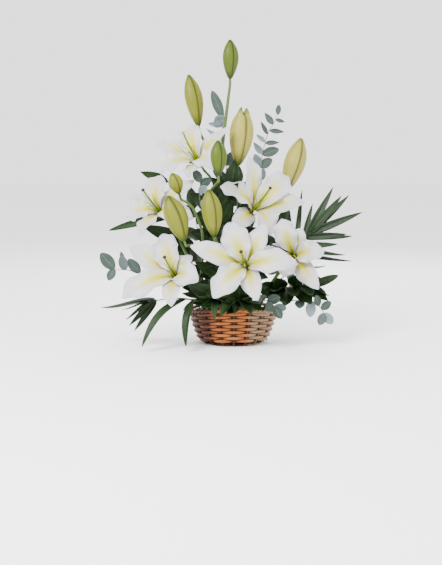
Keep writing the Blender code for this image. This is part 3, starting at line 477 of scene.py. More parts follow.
class Effects:
    """Shader node groups that several finishes share."""

    made: dict[str, NodeTree] = {}

    @classmethod
    def mottle(cls) -> NodeTree:
        """Soft uneven colour: a mask from two sizes of noise on Object coordinates."""
        if "mottle" not in cls.made:
            tree, given, end = node_group(
                "mottle", "ShaderNodeTree",
                {"Vector": ("NodeSocketVector", None), "Scale": ("NodeSocketFloat", 40.0),
                 "Spread": ("NodeSocketFloat", 1.0)}, {"Mask": "NodeSocketFloat"})
            broad = tree.noise(given["Vector"], given["Scale"])
            fine = tree.noise(given["Vector"], tree.math("MULTIPLY", given["Scale"], 4.3))
            both = tree.math("ADD", tree.math("MULTIPLY", broad, 0.7),
                             tree.math("MULTIPLY", fine, 0.3))
            centred = tree.math("MULTIPLY", tree.math("SUBTRACT", both, 0.5), given["Spread"])
            mask = tree.math("ADD", centred, 0.5, clamp=True)
            tree.tree.links.new(mask, end.inputs["Mask"])
            cls.made["mottle"] = tree.tree
        return cls.made["mottle"]

    @classmethod
    def veins(cls) -> NodeTree:
        """Parallel veins that run along u: a height and the distance from the midrib."""
        if "veins" not in cls.made:
            tree, given, end = node_group(
                "veins", "ShaderNodeTree",
                {"UV": ("NodeSocketVector", None), "Count": ("NodeSocketFloat", 12.0),
                 "Waver": ("NodeSocketFloat", 0.02)},
                {"Height": "NodeSocketFloat", "Off midrib": "NodeSocketFloat"})
            parts = tree.add("ShaderNodeSeparateXYZ", None, Vector=given["UV"])
            waver = tree.noise(given["UV"], 6.0, 2.0)
            shift = tree.math("MULTIPLY", tree.math("SUBTRACT", waver, 0.5), given["Waver"])
            across = tree.math("ADD", parts.outputs[1], shift)
            phase = tree.math("MULTIPLY", tree.math("MULTIPLY", across, given["Count"]), math.tau)
            height = tree.math("ADD", tree.math("MULTIPLY", tree.math("COSINE", phase), 0.5), 0.5)
            aside = tree.math("ABSOLUTE", tree.math("SUBTRACT", parts.outputs[1], 0.5))
            off = tree.math("MULTIPLY", aside, 2.0)
            tree.tree.links.new(height, end.inputs["Height"])
            tree.tree.links.new(off, end.inputs["Off midrib"])
            cls.made["veins"] = tree.tree
        return cls.made["veins"]


class Coat:
    """A material under construction: its tree, its Principled shader and the shared effects."""

    def __init__(self, name: str, roughness: float, **constants: float) -> None:
        """Start a material.

        Args:
            name: The material's name.
            roughness: The shader's roughness, unless something is linked to it later.
            constants: More of the shader's own sockets, with _ for a space.
        """
        self.material = bpy.data.materials.new(name)
        self.material.use_nodes = True
        self.tree = Tree(self.material.node_tree)
        self.shader = self.material.node_tree.nodes["Principled BSDF"]
        self.shader.inputs["Roughness"].default_value = roughness
        for key, value in constants.items():
            self.shader.inputs[key.replace("_", " ")].default_value = value
        place = self.tree.add("ShaderNodeTexCoord")
        self.object_space = place.outputs["Object"]
        self.uv = place.outputs["UV"]

    def mottle(self, scale: float, spread: float) -> Socket:
        """The shared mottle effect with this material's own values."""
        node = self.tree.add("ShaderNodeGroup", {"node_tree": Effects.mottle()},
                             Vector=self.object_space, Scale=scale, Spread=spread)
        return node.outputs["Mask"]

    def veins(self, count: float, waver: float) -> Node:
        """The shared vein effect with this material's own values."""
        return self.tree.add("ShaderNodeGroup", {"node_tree": Effects.veins()},
                             UV=self.uv, Count=count, Waver=waver)

    def finish(self, colour: object, height: object = None, strength: float = 0.3,
               distance: float = 0.0005, roughness: object = None) -> Material:
        """Link the colour, relief and roughness to the shader.

        Args:
            colour: Socket with the colour.
            height: Socket with the relief, or None.
            strength: Strength of the relief.
            distance: Depth of the relief in metres.
            roughness: Socket with the roughness, or None.

        Returns:
            The finished material.
        """
        links = self.material.node_tree.links
        links.new(colour, self.shader.inputs["Base Color"])
        if roughness is not None:
            links.new(roughness, self.shader.inputs["Roughness"])
        if height is not None:
            bump = self.tree.add("ShaderNodeBump", None, Strength=strength, Distance=distance,
                                 Height=height)
            links.new(bump.outputs["Normal"], self.shader.inputs["Normal"])
        return self.material


# ------------------------------------------------------------------ finishes

@dataclass(frozen=True)
class TepalFinish:
    """White lily tepal: yellow band along the midrib, green throat, fine veins and papillae, and
    painted grey-lavender shade in soft patches.
    """

    name: str
    white: Colour = (0.53, 0.53, 0.54)
    # grey-lavender painted into the white as shade
    painted_shade_grey: Colour = (0.29, 0.30, 0.37)
    yellow: Colour = (0.40, 0.38, 0.003)
    pale_yellow: Colour = (0.48, 0.46, 0.050)
    green: Colour = (0.08, 0.12, 0.001)
    band: float = 0.42
    reach: float = 0.92

    def material(self) -> Material:
        """Build the material."""
        coat = Coat(self.name, 0.46, Subsurface_Weight=0.18, Subsurface_Scale=0.004,
                    Sheen_Weight=0.12, Specular_IOR_Level=0.35)
        tree = coat.tree
        veins = coat.veins(22.0, 0.05)
        off = veins.outputs["Off midrib"]
        along = tree.add("ShaderNodeSeparateXYZ", None, Vector=coat.uv).outputs[0]
        wander = tree.math("MULTIPLY", tree.math("SUBTRACT", coat.mottle(60.0, 1.6), 0.5), 0.16)
        edge = tree.math("ADD", off, wander)
        fade = tree.ramp(along, 0.25, self.reach, 1.0, 0.0)
        wide = tree.math("MULTIPLY", tree.ramp(edge, 0.06, self.band * 2.3, 1.0, 0.0), fade)
        narrow = tree.math("MULTIPLY", tree.ramp(edge, 0.08, self.band * 1.15, 1.0, 0.0), fade)
        throat = tree.ramp(along, 0.02, 0.24, 1.0, 0.0)
        furrow = tree.math("MULTIPLY", tree.ramp(off, 0.02, 0.13, 1.0, 0.0),
                           tree.ramp(along, 0.12, 0.50, 1.0, 0.0))
        # painted shade: soft patches of grey-lavender mixed into the white tepal
        shade = tree.mix(coat.mottle(24.0, 1.3), self.white, self.painted_shade_grey)
        colour = tree.mix(wide, shade, self.pale_yellow)
        colour = tree.mix(tree.math("MULTIPLY", narrow, 0.95), colour, self.yellow)
        colour = tree.mix(tree.math("MULTIPLY", throat, 0.55), colour, self.green)
        colour = tree.mix(tree.math("MULTIPLY", furrow, 0.75), colour, self.green)
        papillae = tree.add("ShaderNodeTexVoronoi", None, Vector=coat.object_space,
                            Scale=900.0).outputs["Distance"]
        bumps = tree.math("MULTIPLY", tree.math("SUBTRACT", 1.0, papillae),
                          tree.math("MULTIPLY", tree.ramp(along, 0.10, 0.55, 1.0, 0.0),
                                    tree.ramp(off, 0.15, 0.75, 1.0, 0.0)))
        height = tree.math("ADD", tree.math("MULTIPLY", veins.outputs["Height"], 0.30),
                           tree.math("MULTIPLY", bumps, 0.7))
        return coat.finish(colour, height, 0.35, 0.0006)


@dataclass(frozen=True)
class BudFinish:
    """Closed bud: waxy tepals with fine ribs, and a darker seam where they meet."""

    name: str
    body: Colour
    seam: Colour
    base: Colour
    tip: Colour

    def material(self) -> Material:
        """Build the material."""
        coat = Coat(self.name, 0.48, Subsurface_Weight=0.06, Subsurface_Scale=0.002,
                    Specular_IOR_Level=0.22)
        tree = coat.tree
        rise = tree.attribute("rise")
        ribs = tree.noise(tree.attribute("skin", "Vector"), 9.0, 3.0, 0.6)
        colour = tree.mix(tree.ramp(ribs, 0.35, 0.70), self.body,
                          tuple(0.80 * c for c in self.body))
        colour = tree.mix(tree.math("MULTIPLY", coat.mottle(35.0, 1.5), 0.45), colour, self.tip)
        colour = tree.mix(tree.ramp(rise, 0.0, 0.24, 0.85, 0.0), colour, self.base)
        colour = tree.mix(tree.ramp(rise, 0.86, 1.0, 0.0, 0.8), colour, self.base)
        green = tree.math("MULTIPLY", tree.math("POWER", tree.attribute("stripe"), 1.5), 0.75)
        colour = tree.mix(green, colour, self.base)
        colour = tree.mix(tree.math("MULTIPLY", tree.attribute("seam"), 0.9), colour, self.seam)
        return coat.finish(colour, ribs, 0.35, 0.0007)


@dataclass(frozen=True)
class LeafFinish:
    """A leaf: mottled blade, lighter midrib and fine veins, with its own gloss."""

    name: str
    dark: Colour
    light: Colour
    midrib: Colour
    roughness: float = 0.40
    vein_count: float = 14.0
    pale_side: Colour | None = None

    def material(self) -> Material:
        """Build the material."""
        coat = Coat(self.name, self.roughness, Specular_IOR_Level=0.22)
        tree = coat.tree
        veins = coat.veins(self.vein_count, 0.10)
        tone = tree.attribute("tone")
        uneven = tree.math("ADD", tree.math("MULTIPLY", coat.mottle(45.0, 1.6), 0.55),
                           tree.math("MULTIPLY", tone, 0.45), clamp=True)
        colour = tree.mix(uneven, self.dark, self.light)
        if self.pale_side:
            turned = tree.ramp(tone, 0.70, 0.80, 0.0, 0.85)
            colour = tree.mix(turned, colour, self.pale_side)
        stripes = tree.math("MULTIPLY", veins.outputs["Height"], 0.22)
        colour = tree.mix(stripes, colour, self.midrib)
        rib = tree.ramp(veins.outputs["Off midrib"], 0.01, 0.10, 0.8, 0.0)
        colour = tree.mix(rib, colour, self.midrib)
        height = tree.math("ADD", tree.math("MULTIPLY", veins.outputs["Height"], 0.5),
                           tree.math("MULTIPLY", rib, -0.8))
        rough = tree.ramp(coat.mottle(120.0, 1.5), 0.0, 1.0, self.roughness - 0.08,
                          self.roughness + 0.14)
        return coat.finish(colour, height, 0.40, 0.0006, rough)


@dataclass(frozen=True)
class StemFinish:
    """A green stem, streaked and a little mottled."""

    name: str
    dark: Colour
    light: Colour
    roughness: float = 0.45

    def material(self) -> Material:
        """Build the material."""
        coat = Coat(self.name, self.roughness, Specular_IOR_Level=0.4)
        tree = coat.tree
        stretch = tree.add("ShaderNodeMapping", None, Vector=coat.object_space)
        stretch.inputs["Scale"].default_value = (1.0, 1.0, 0.15)
        streaks = tree.noise(stretch.outputs[0], 420.0, 3.0)
        factor = tree.math("ADD", tree.math("MULTIPLY", streaks, 0.5),
                           tree.math("MULTIPLY", coat.mottle(30.0, 1.6), 0.5), clamp=True)
        return coat.finish(tree.mix(factor, self.dark, self.light), streaks, 0.3, 0.0004)


@dataclass(frozen=True)
class PistilFinish:
    """Style and filaments from green to yellow, and the near-black stigma."""

    name: str = "pistil and filaments"
    green: Colour = (0.070, 0.135, 0.002)
    yellow: Colour = (0.36, 0.33, 0.008)
    stigma: Colour = (0.012, 0.008, 0.010)

    def material(self) -> Material:
        """Build the material."""
        coat = Coat(self.name, 0.45, Subsurface_Weight=0.05, Subsurface_Scale=0.001,
                    Specular_IOR_Level=0.25)
        tree = coat.tree
        tone = tree.attribute("tone")
        colour = tree.mix(tree.ramp(tone, 0.05, 0.50), self.green, self.yellow)
        colour = tree.mix(tree.math("MULTIPLY", coat.mottle(150.0, 1.5), 0.3), colour, self.green)
        colour = tree.mix(tree.ramp(tone, 0.80, 0.95), colour, self.stigma)
        return coat.finish(colour, coat.mottle(900.0, 2.0), 0.25, 0.0004)


@dataclass(frozen=True)
class WillowFinish:
    """Stained willow rods: long fibres, knots, a dark brown stretch on the left and a grey one on
    the right, and painted shade where the strand passes inside the wall.
    """

    name: str
    orange: Colour = (0.195, 0.046, 0.007)
    pale: Colour = (0.36, 0.118, 0.026)
    left_brown: Colour = (0.028, 0.0075, 0.004)
    right_grey: Colour = (0.200, 0.125, 0.068)
    # dark brown of the knots, and of the painted shade where the strand passes inside the wall
    knot_and_shade_dark: Colour = (0.020, 0.006, 0.002)
    left_edge: float = -0.036
    right_edge: float = 0.028

    def material(self) -> Material:
        """Build the material."""
        coat = Coat(self.name, 0.42, Specular_IOR_Level=0.22)
        tree = coat.tree
        along = tree.attribute("along")
        skin = tree.add("ShaderNodeSeparateXYZ", None, Vector=tree.attribute("skin", "Vector"))
        spread = tree.add("ShaderNodeCombineXYZ", None, X=tree.math("MULTIPLY", along, 14.0),
                          Y=tree.math("MULTIPLY", skin.outputs[0], 2.2),
                          Z=tree.math("MULTIPLY", skin.outputs[1], 2.2)).outputs[0]
        fibres = tree.noise(spread, 3.0, 4.0, 0.65)
        rods = tree.add("ShaderNodeCombineXYZ", None, X=tree.math("MULTIPLY", along, 5.0),
                        Y=0.0, Z=0.0).outputs[0]
        rod_tone = tree.noise(rods, 1.0, 1.0)
        colour = tree.mix(tree.ramp(fibres, 0.30, 0.72), self.orange, self.pale)
        colour = tree.mix(tree.ramp(rod_tone, 0.40, 0.75, 0.0, 0.55), colour,
                          tuple(0.55 * c for c in self.orange))
        # by x round the basket: a dark brown stretch on the left and a grey stretch on the right
        place = tree.add("ShaderNodeSeparateXYZ", None, Vector=coat.object_space)
        wander = tree.math("MULTIPLY", tree.math("SUBTRACT", coat.mottle(60.0, 1.5), 0.5), 0.02)
        x = tree.math("ADD", place.outputs[0], wander)
        left = tree.ramp(x, self.left_edge - 0.012, self.left_edge + 0.006, 0.86, 0.0)
        right = tree.ramp(x, self.right_edge - 0.003, self.right_edge + 0.006, 0.0, 0.9)
        colour = tree.mix(left, colour, tree.mix(fibres, self.left_brown,
                                                 tuple(2.2 * c for c in self.left_brown)))
        colour = tree.mix(right, colour, tree.mix(fibres, tuple(0.72 * c for c in self.right_grey),
                                                  tuple(1.25 * c for c in self.right_grey)))
        knots = tree.ramp(tree.noise(coat.object_space, 130.0, 2.0), 0.66, 0.74, 0.0, 0.7)
        colour = tree.mix(knots, colour, self.knot_and_shade_dark)
        # painted shade: the tone attribute darkens the strand where it passes inside the wall
        # behind the stakes; the stakes and the base carry a small fixed tone
        painted_dive_shade = tree.ramp(tree.attribute("tone"), 0.0, 0.9, 0.0, 0.88)
        colour = tree.mix(painted_dive_shade, colour, self.knot_and_shade_dark)
        height = tree.math("ADD", fibres, tree.math("MULTIPLY", knots, -0.6))
        return coat.finish(colour, height, 0.5, 0.0008)


@dataclass(frozen=True)
class PlainFinish:
    """A mottled surface with a grain: foam and liner."""

    name: str
    dark: Colour
    light: Colour
    roughness: float
    grain: float
    depth: float

    def material(self) -> Material:
        """Build the material."""
        coat = Coat(self.name, self.roughness)
        tree = coat.tree
        colour = tree.mix(coat.mottle(self.grain * 0.3, 2.0), self.dark, self.light)
        pores = tree.add("ShaderNodeTexVoronoi", None, Vector=coat.object_space,
                         Scale=self.grain).outputs["Distance"]
        return coat.finish(colour, pores, 0.8, self.depth)


# ------------------------------------------------------------------ rods along a path

@dataclass
class Rod:
    """A run of rod: its centre line, its radius and its tone at each point."""

    points: list[Vector]
    radii: list[float]
    tones: list[float] = field(default_factory=list)
    closed: bool = False


class RodMaker:
    """Makes round or oval rods along the edges of a mesh, with one Geometry Nodes tree."""

    tree: NodeTree | None = None

    @classmethod
    def node_tree(cls) -> NodeTree:
        """The tree: mesh edges to curves, a section swept along them, shaded and dressed."""
        if cls.tree is not None:
            return cls.tree
        tree, given, end = node_group(
            "rods along a path", "GeometryNodeTree",
            {"Geometry": ("NodeSocketGeometry", None), "Sides": ("NodeSocketInt", 12),
             "Width": ("NodeSocketFloat", 1.0), "Height": ("NodeSocketFloat", 1.0),
             "Finish": ("NodeSocketMaterial", None)}, {"Geometry": "NodeSocketGeometry"})
        lines = tree.add("GeometryNodeMeshToCurve", None, Mesh=given["Geometry"])
        level = tree.add("GeometryNodeSetCurveNormal", {"mode": "Z_UP"}, Curve=lines.outputs[0])
        run = tree.add("GeometryNodeSplineParameter")
        marked = tree.add("GeometryNodeStoreNamedAttribute", {"data_type": "FLOAT"},
                          Geometry=level.outputs[0], Name="along", Value=run.outputs["Length"])
        ring = tree.add("GeometryNodeCurvePrimitiveCircle", None, Resolution=given["Sides"],
                        Radius=1.0)
        spot = tree.add("GeometryNodeInputPosition")
        skin = tree.add("GeometryNodeStoreNamedAttribute", {"data_type": "FLOAT_VECTOR"},
                        Geometry=ring.outputs[0], Name="skin", Value=spot.outputs[0])
        oval = tree.add("ShaderNodeCombineXYZ", None, X=given["Width"], Y=given["Height"], Z=1.0)
        section = tree.add("GeometryNodeTransform", None, Geometry=skin.outputs[0],
                           Scale=oval.outputs[0])
        thick = tree.add("GeometryNodeInputNamedAttribute", {"data_type": "FLOAT"}, Name="thick")
        swept = tree.add("GeometryNodeCurveToMesh", None, Curve=marked.outputs[0],
                         Profile_Curve=section.outputs[0], Scale=thick.outputs[0], Fill_Caps=True)
        whole = tree.add("GeometryNodeRealizeInstances", None, Geometry=swept.outputs[0])
        soft = tree.add("GeometryNodeSetShadeSmooth", None, Geometry=whole.outputs[0])
        done = tree.add("GeometryNodeSetMaterial", None, Geometry=soft.outputs[0],
                        Material=given["Finish"])
        tree.tree.links.new(done.outputs[0], end.inputs[0])
        cls.tree = tree.tree
        return cls.tree

    @classmethod
    def make(cls, name: str, runs: Sequence[Rod], finish: Material, sides: int = 12,
             width: float = 1.0, height: float = 1.0) -> Obj:
        """Make one piece of rods.

        Args:
            name: The piece's name.
            runs: The rods.
            finish: Their material.
            sides: Sides of the section.
            width: The section's level half width, in radii.
            height: The section's upright half height, in radii.

        Returns:
            The piece, with along, skin, thick and tone as attributes.
        """
        points, edges, thick, tone = [], [], [], []
        for run in runs:
            first = len(points)
            points += run.points
            thick += run.radii
            tone += run.tones or [0.0] * len(run.points)
            edges += [(k, k + 1) for k in range(first, len(points) - 1)]
            if run.closed:
                edges.append((len(points) - 1, first))
        obj = mesh_object(name, points, edges, [])
        store(obj, "thick", thick)
        store(obj, "tone", tone)
        with_nodes(obj, cls.node_tree(), Sides=sides, Width=width, Height=height, Finish=finish)
        return facing_out(baked(obj))


def with_nodes(obj: Obj, tree: NodeTree, **values: object) -> None:
    """Add a Geometry Nodes modifier and set its inputs by their identifiers.

    Args:
        obj: The object.
        tree: The node tree.
        values: Inputs by name.
    """
    modifier = obj.modifiers.new(tree.name, "NODES")
    modifier.node_group = tree
    for item in tree.interface.items_tree:
        if item.item_type == "SOCKET" and item.in_out == "INPUT" and item.name in values:
            modifier[item.identifier] = values[item.name]


# ------------------------------------------------------------------ basket

@dataclass
class Basket:
    """The round basket: base, stakes, one woven strand, a twisted border, liner and foam."""

    base_radius: float = 0.057
    flare: float = 0.029
    power: float = 0.6
    bends: tuple[float, ...] = (0.0, 0.0075, 0.018, 0.036, 0.070)
    rim_height: float = 0.070
    saddle: float = 0.0045
    stakes: int = 17
    stake_radius: float = 0.0014
    first_row: float = 0.0070
    row_pitch: float = 0.0058
    stake_turn: float = -0.080
    sway: float = 0.0030
    strand_half: float = 0.0031
    strand_flat: float = 0.52
    border_radius: float = 0.0027
    border_swing: float = 0.0016
    border_twists: int = 26
    border_steps: int = 12
    strand_steps: int = 10
    base_spokes: int = 8
    base_turns: int = 15
    spoke_radius: float = 0.0012
    base_rod_radius: float = 0.0018
    rod_sides: int = 12
    rib_sides: int = 8

    def wall(self, z: float) -> float:
        """Radius of the middle of the wall at a height on an unsaddled bowl."""
        radii = [self.base_radius + self.flare * (h / self.rim_height) ** self.power
                 for h in self.bends]
        return float(np.interp(z, self.bends, radii))

    def place(self, angle: float, z: float, out: float = 0.0) -> Vector:
        """A point on the wall, its height stretched by the saddle of the rim.

        Args:
            angle: The way round the basket.
            z: Height on a basket with a level rim.
            out: How far out from the middle of the wall.

        Returns:
            The point.
        """
        r = self.wall(z) + out
        lift = 1 - self.saddle * math.cos(2 * angle) / self.rim_height
        return Vector((r * math.cos(angle), r * math.sin(angle), z * lift))

    def stake_rods(self) -> list[Rod]:
        """The upright stakes, from under the base to the border."""
        runs = []
        for k in range(self.stakes):
            angle = self.stake_turn + math.tau * k / self.stakes
            heights = np.linspace(0.004, self.rim_height - 0.002, 12)
            line = [Vector((0.82 * self.base_radius * math.cos(angle),
                            0.82 * self.base_radius * math.sin(angle), 0.0026))]
            line += [self.place(angle, float(z)) for z in heights]
            runs.append(Rod(line, [self.stake_radius] * len(line), [0.25] * len(line)))
        return runs

    def base_rods(self) -> list[Rod]:
        """The base: spokes crossed by a strand that winds out from the middle."""
        runs = []
        for k in range(self.base_spokes):
            angle = math.pi * k / self.base_spokes
            reach = self.base_radius - 0.002
            ends = [Vector((s * reach * math.cos(angle), s * reach * math.sin(angle), 0.0024))
                    for s in np.linspace(-1, 1, 9)]
            runs.append(Rod(ends, [self.spoke_radius] * len(ends), [0.3] * len(ends)))
        line = []
        count = 2 * self.base_turns * self.stakes
        for k in range(count):
            share = k / count
            angle = math.pi * k / self.stakes
            r = 0.0035 + (self.base_radius - 0.0042) * share
            line.append(Vector((r * math.cos(angle), r * math.sin(angle),
                                0.0023 + 0.0006 * math.cos(math.pi * k / 2))))
        runs.append(Rod(line, [self.base_rod_radius] * len(line), [0.1] * len(line)))
        return runs

    def strand_rod(self) -> Rod:
        """The woven strand: outside one stake and inside the next, row over row."""
        turns = (self.rim_height - 0.0046 - self.first_row) / self.row_pitch
        line, radii, tones = [], [], []
        for k in range(int(turns * self.stakes * self.strand_steps)):
            stake = k / self.strand_steps
            angle = self.stake_turn + math.tau * stake / self.stakes
            z = self.first_row + self.row_pitch * stake / self.stakes
            wave = math.cos(math.pi * stake)
            swing = 1 - 2 * ((1 - wave) / 2) ** 2.4
            lean = (self.wall(z + 0.002) - self.wall(z - 0.002)) / 0.004
            swell = 0.93 + 0.07 * math.sin(2.7 * stake) * math.sin(0.61 * stake)
            line.append(self.place(angle, z, swing * (self.sway + 0.0012 * lean)))
            radii.append(self.strand_half * swell * (0.86 + 0.14 * wave))
            # the tone is painted shade, strongest where the strand passes inside the wall
            tones.append(smoothstep(0.55, 1.0, -wave))
        return Rod(line, radii, tones)

    def border_rods(self) -> list[Rod]:
        """The two rods twisted round each other that finish the rim."""
        runs = []
        count = self.border_twists * self.border_steps
        for half in range(2):
            line = []
            for k in range(count):
                angle = math.tau * k / count
                turn = math.tau * self.border_twists * k / count + math.pi * half
                out, up = math.cos(turn), math.sin(turn)
                spot = self.place(angle, self.rim_height, self.border_swing * out)
                line.append(spot + Vector((0, 0, self.border_swing * up)))
            runs.append(Rod(line, [self.border_radius] * count, closed=True))
        return runs

    def build(self, willow: Material, stakes: Material,
              liner: Material, foam: Material, frame: dict) -> None:
        """Build and dress the basket.

        Args:
            willow: Finish of the woven strand and the border.
            stakes: Finish of the stakes and the base.
            liner: Finish of the liner.
            foam: Finish of the flower foam.
            frame: The loaded frame.
        """
        strand = RodMaker.make("woven_strand", [self.strand_rod()], willow, self.rod_sides,
                               self.strand_flat)
        dress(strand, "willow", "basket_weaver")
        border = RodMaker.make("twisted_border", self.border_rods(), willow, self.rod_sides)
        dress(border, "willow", "basket_rim")
        ribs = self.stake_rods() + self.base_rods()
        dress(RodMaker.make("stakes_and_base", ribs, stakes, self.rib_sides), "willow",
              "basket_frame")
        for node, finish in (("basket_liner", liner), ("flower_foam", foam)):
            mesh = frame["nodes"][node].data
            mesh.materials.clear()
            mesh.materials.append(finish)
            LOG.info("%s: the packed solid, in its own finish", node)


# ------------------------------------------------------------------ lilies

@dataclass(frozen=True)
class Whorl:
    """How the three tepals of one whorl differ from those of the other.

    In order: reach of the foot, how much lower the tepals arch, share of the reach where they
    are flat, depth and number of the margin's waves, how late they are widest, depth of the
    groove, height of the foot, cupping, and the ring that they spring from.
    """

    start: float
    drop: float
    flat_from: float
    ruffle: float
    waves: float
    late: float
    groove: float
    foot: float
    cup: float
    ring: tuple[float, float]
    ring_steps: tuple[float, ...] = (1.0, 1.0, 1.0, 1.0)


INNER = Whorl(0.0052, 0.0, 0.95, 0.0060, 3.2, 1.50, 0.0018, 0.0003, 0.10, (-0.0007, 0.0016))
OUTER = Whorl(0.0076, 0.0090, 0.55, 0.0030, 2.2, 1.22, 0.0011, -0.0035, -0.04,
              (-0.0076, -0.0010), (0.5, 0.72, 0.95, 1.05))

# the stigma's knob: distance from its back and radius
STIGMA = ((0.0012, 0.0024), (0.0024, 0.0035), (0.0040, 0.0037), (0.0050, 0.0028),
          (0.0054, 0.0012))

# a bud's outline above its seat: share of its greatest width and of its length
BUD_OUTLINE = ((0.30, 0.02), (0.46, 0.08), (0.74, 0.22), (0.97, 0.42), (1.0, 0.60),
               (0.80, 0.78), (0.46, 0.91), (0.20, 0.98), (0.09, 1.0))


@dataclass
class Lily:
    """One open lily: two whorls of three tepals, six filaments and a pistil."""

    hub: Point
    axis: Point
    stigma: Point
    outer: list[tuple[Point, float]]
    inner: list[tuple[Point, float]]
    dark_style: bool = False
    dark_stigma: bool = True
    thickness: float = 0.0009
    twist: float = 0.0025
    most_turn: float = 0.88
    stigma_depth: float = 0.004
    filament_length: float = 0.050
    grid: tuple[int, int] = (40, 18)
    ring_sides: int = 24
    pistil_sides: int = 10

    def __post_init__(self) -> None:
        """Find the flower's own directions."""
        self.middle = Vector(self.hub)
        self.line = Vector(self.axis).normalized()
        self.x = Vector((0, 0, 1)).cross(self.line).normalized()
        self.y = self.line.cross(self.x)

    def at(self, r: float, angle: float, h: float) -> Vector:
        """A point at a reach, an angle and a height in the flower's own frame."""
        return (self.middle + self.line * h
                + (self.x * math.cos(angle) + self.y * math.sin(angle)) * r)

    def polar(self, point: Point) -> tuple[float, float, float]:
        """A point's reach, angle and height in the flower's own frame."""
        q = Vector(point) - self.middle
        a, b = q.dot(self.x), q.dot(self.y)
        return math.hypot(a, b), math.atan2(b, a), q.dot(self.line)

    def half_width(self, t: float, width: float, whorl: Whorl) -> float:
        """Half width along a tepal: a narrow claw, widest past the middle, a blunt point.

        Args:
            t: Place along the tepal, from 0 to 1.
            width: Its greatest width.
            whorl: Its whorl.

        Returns:
            The half width there.
        """
        rise = math.sin(math.pi * min(1.0, t) ** whorl.late) ** 0.72 if t < 0.999 else 0.0
        claw = whorl.start * 0.80 * (1 - t) ** 2
        return max(claw + rise * width / 2, 0.0014 * smoothstep(0.85, 0.95, t))

    def tepal(self, tip: Point, width: float, whorl: Whorl, draw: random.Random) -> Surface:
        """The surface of one tepal.

        Args:
            tip: Where the tepal ends.
            width: Its greatest width.
            whorl: Its whorl.
            draw: Source of the small differences between tepals.

        Returns:
            The surface over u along and v across.
        """
        reach, angle, height = self.polar(tip)
        start, drop = whorl.start, whorl.drop
        flat_from = whorl.flat_from * reach
        ruffle = whorl.ruffle * draw.uniform(0.8, 1.25)
        waves = whorl.waves * draw.uniform(0.85, 1.2)
        phases = (draw.uniform(0, math.tau), draw.uniform(0, math.tau))
        twist = draw.uniform(-self.twist, self.twist)

        def surface(u: float, v: float) -> Vector:
            """Point at u along and v across."""
            r = bezier(start, start + 0.05 * reach, 0.60 * reach, reach, u)
            h = bezier(whorl.foot, 0.030 - drop, height + 0.022 - drop * 1.3, height, u)
            phase = phases[0] if v < 0 else phases[1]
            wave = math.sin(math.tau * waves * u + phase)
            alive = smoothstep(0.22, 0.55, u) * (1 - 0.6 * smoothstep(0.88, 1.0, u))
            half = min(self.half_width(u, width, whorl), r * self.most_turn)
            half *= 1 + 0.035 * alive * math.sin(math.tau * waves * 1.3 * u + phase * 1.7)
            arc = v * half
            wrap = max(0.0, 1 - r / flat_from)
            turn = arc / max(r, start)
            a = r * math.cos(turn) * wrap + r * (1 - wrap)
            b = r * math.sin(turn) * wrap + arc * (1 - wrap)
            lift = whorl.cup * half * v * v * math.sin(math.pi * min(1, u * 1.1))
            lift += ruffle * abs(v) ** 2.6 * wave * alive
            lift -= whorl.groove * math.exp(-(v / 0.17) ** 2) * (1 - smoothstep(0.55, 0.98, u))
            lift += twist * v * alive
            side_a, side_b = math.cos(angle), math.sin(angle)
            return (self.middle + self.x * (a * side_a - b * side_b)
                    + self.y * (a * side_b + b * side_a) + self.line * (h + lift))

        return surface

    def blades(self, name: str, whorl: Whorl, finish: Material, draw: random.Random) -> Obj:
        """Three tepals and the ring they spring from, as one piece.

        Args:
            name: The piece's name.
            whorl: The whorl.
            finish: Its material.
            draw: Source of the small differences between tepals.

        Returns:
            The piece.
        """
        pieces = []
        for k, (tip, width) in enumerate(self.inner if whorl is INNER else self.outer):
            blade = f"{name}_{k}"
            mesh, _ = grid_mesh(blade, self.tepal(tip, width, whorl, draw), *self.grid)
            mesh.materials.append(finish)
            pieces.append(thickened(link(bpy.data.objects.new(blade, mesh)), self.thickness))
        low, high = whorl.ring
        ring = [self.at(0, 0, low + (high - low) * t) for t in (0, 0.3, 0.7, 1)]
        sizes = [whorl.start * step for step in whorl.ring_steps]
        pieces.append(RodMaker.make(name + "_ring", [Rod(ring, sizes)], finish, self.ring_sides))
        return joined(name, pieces)

    def pistil_rods(self, draw: random.Random) -> list[Rod]:
        """The pistil with its stigma, and the six filaments round it.

        Args:
            draw: Source of the small differences between filaments.

        Returns:
            The rods, which the tone colours: green, yellow and near black.
        """
        top = self.at(0, 0, 0.020)
        stigma = Vector(self.stigma)
        bend = top + (stigma - top) * 0.5 + self.line * 0.006
        line = smoothed([self.at(0, 0, 0.0021), self.at(0, 0, 0.010), top, bend, stigma], 8)
        end = (line[-1] - line[-2]).normalized()
        count = len(line)
        radii = [0.0030 - 0.0014 * smoothstep(0.25, 0.5, k / count) for k in range(count)]
        dark = 1.0 if self.dark_style else 0.0
        tones = [dark * smoothstep(0.35, 0.5, k / count) for k in range(count)]
        back = stigma - end * self.stigma_depth
        line[-1] = back
        for far, radius in STIGMA:
            line.append(back + end * far)
            radii.append(radius)
            tones.append(1.0 if self.dark_stigma else 0.35)
        runs = [Rod(line, radii, tones)]
        for tip, _ in self.outer + self.inner:
            angle = self.polar(tip)[1] + draw.uniform(-0.25, 0.25)
            long = self.filament_length * draw.uniform(0.85, 1.12)
            spread = draw.uniform(0.22, 0.42)
            thread = smoothed([self.at(0.0042, angle, 0.0022), self.at(0.0050, angle, 0.3 * long),
                               self.at(0.4 * spread * long, angle, 0.68 * long),
                               self.at(spread * long, angle, 0.96 * long)], 6)
            thin = [0.0013 - 0.0006 * k / (len(thread) - 1) for k in range(len(thread))]
            tone = [0.15 + 0.30 * k / (len(thread) - 1) for k in range(len(thread))]
            runs.append(Rod(thread, thin, tone))
        return runs

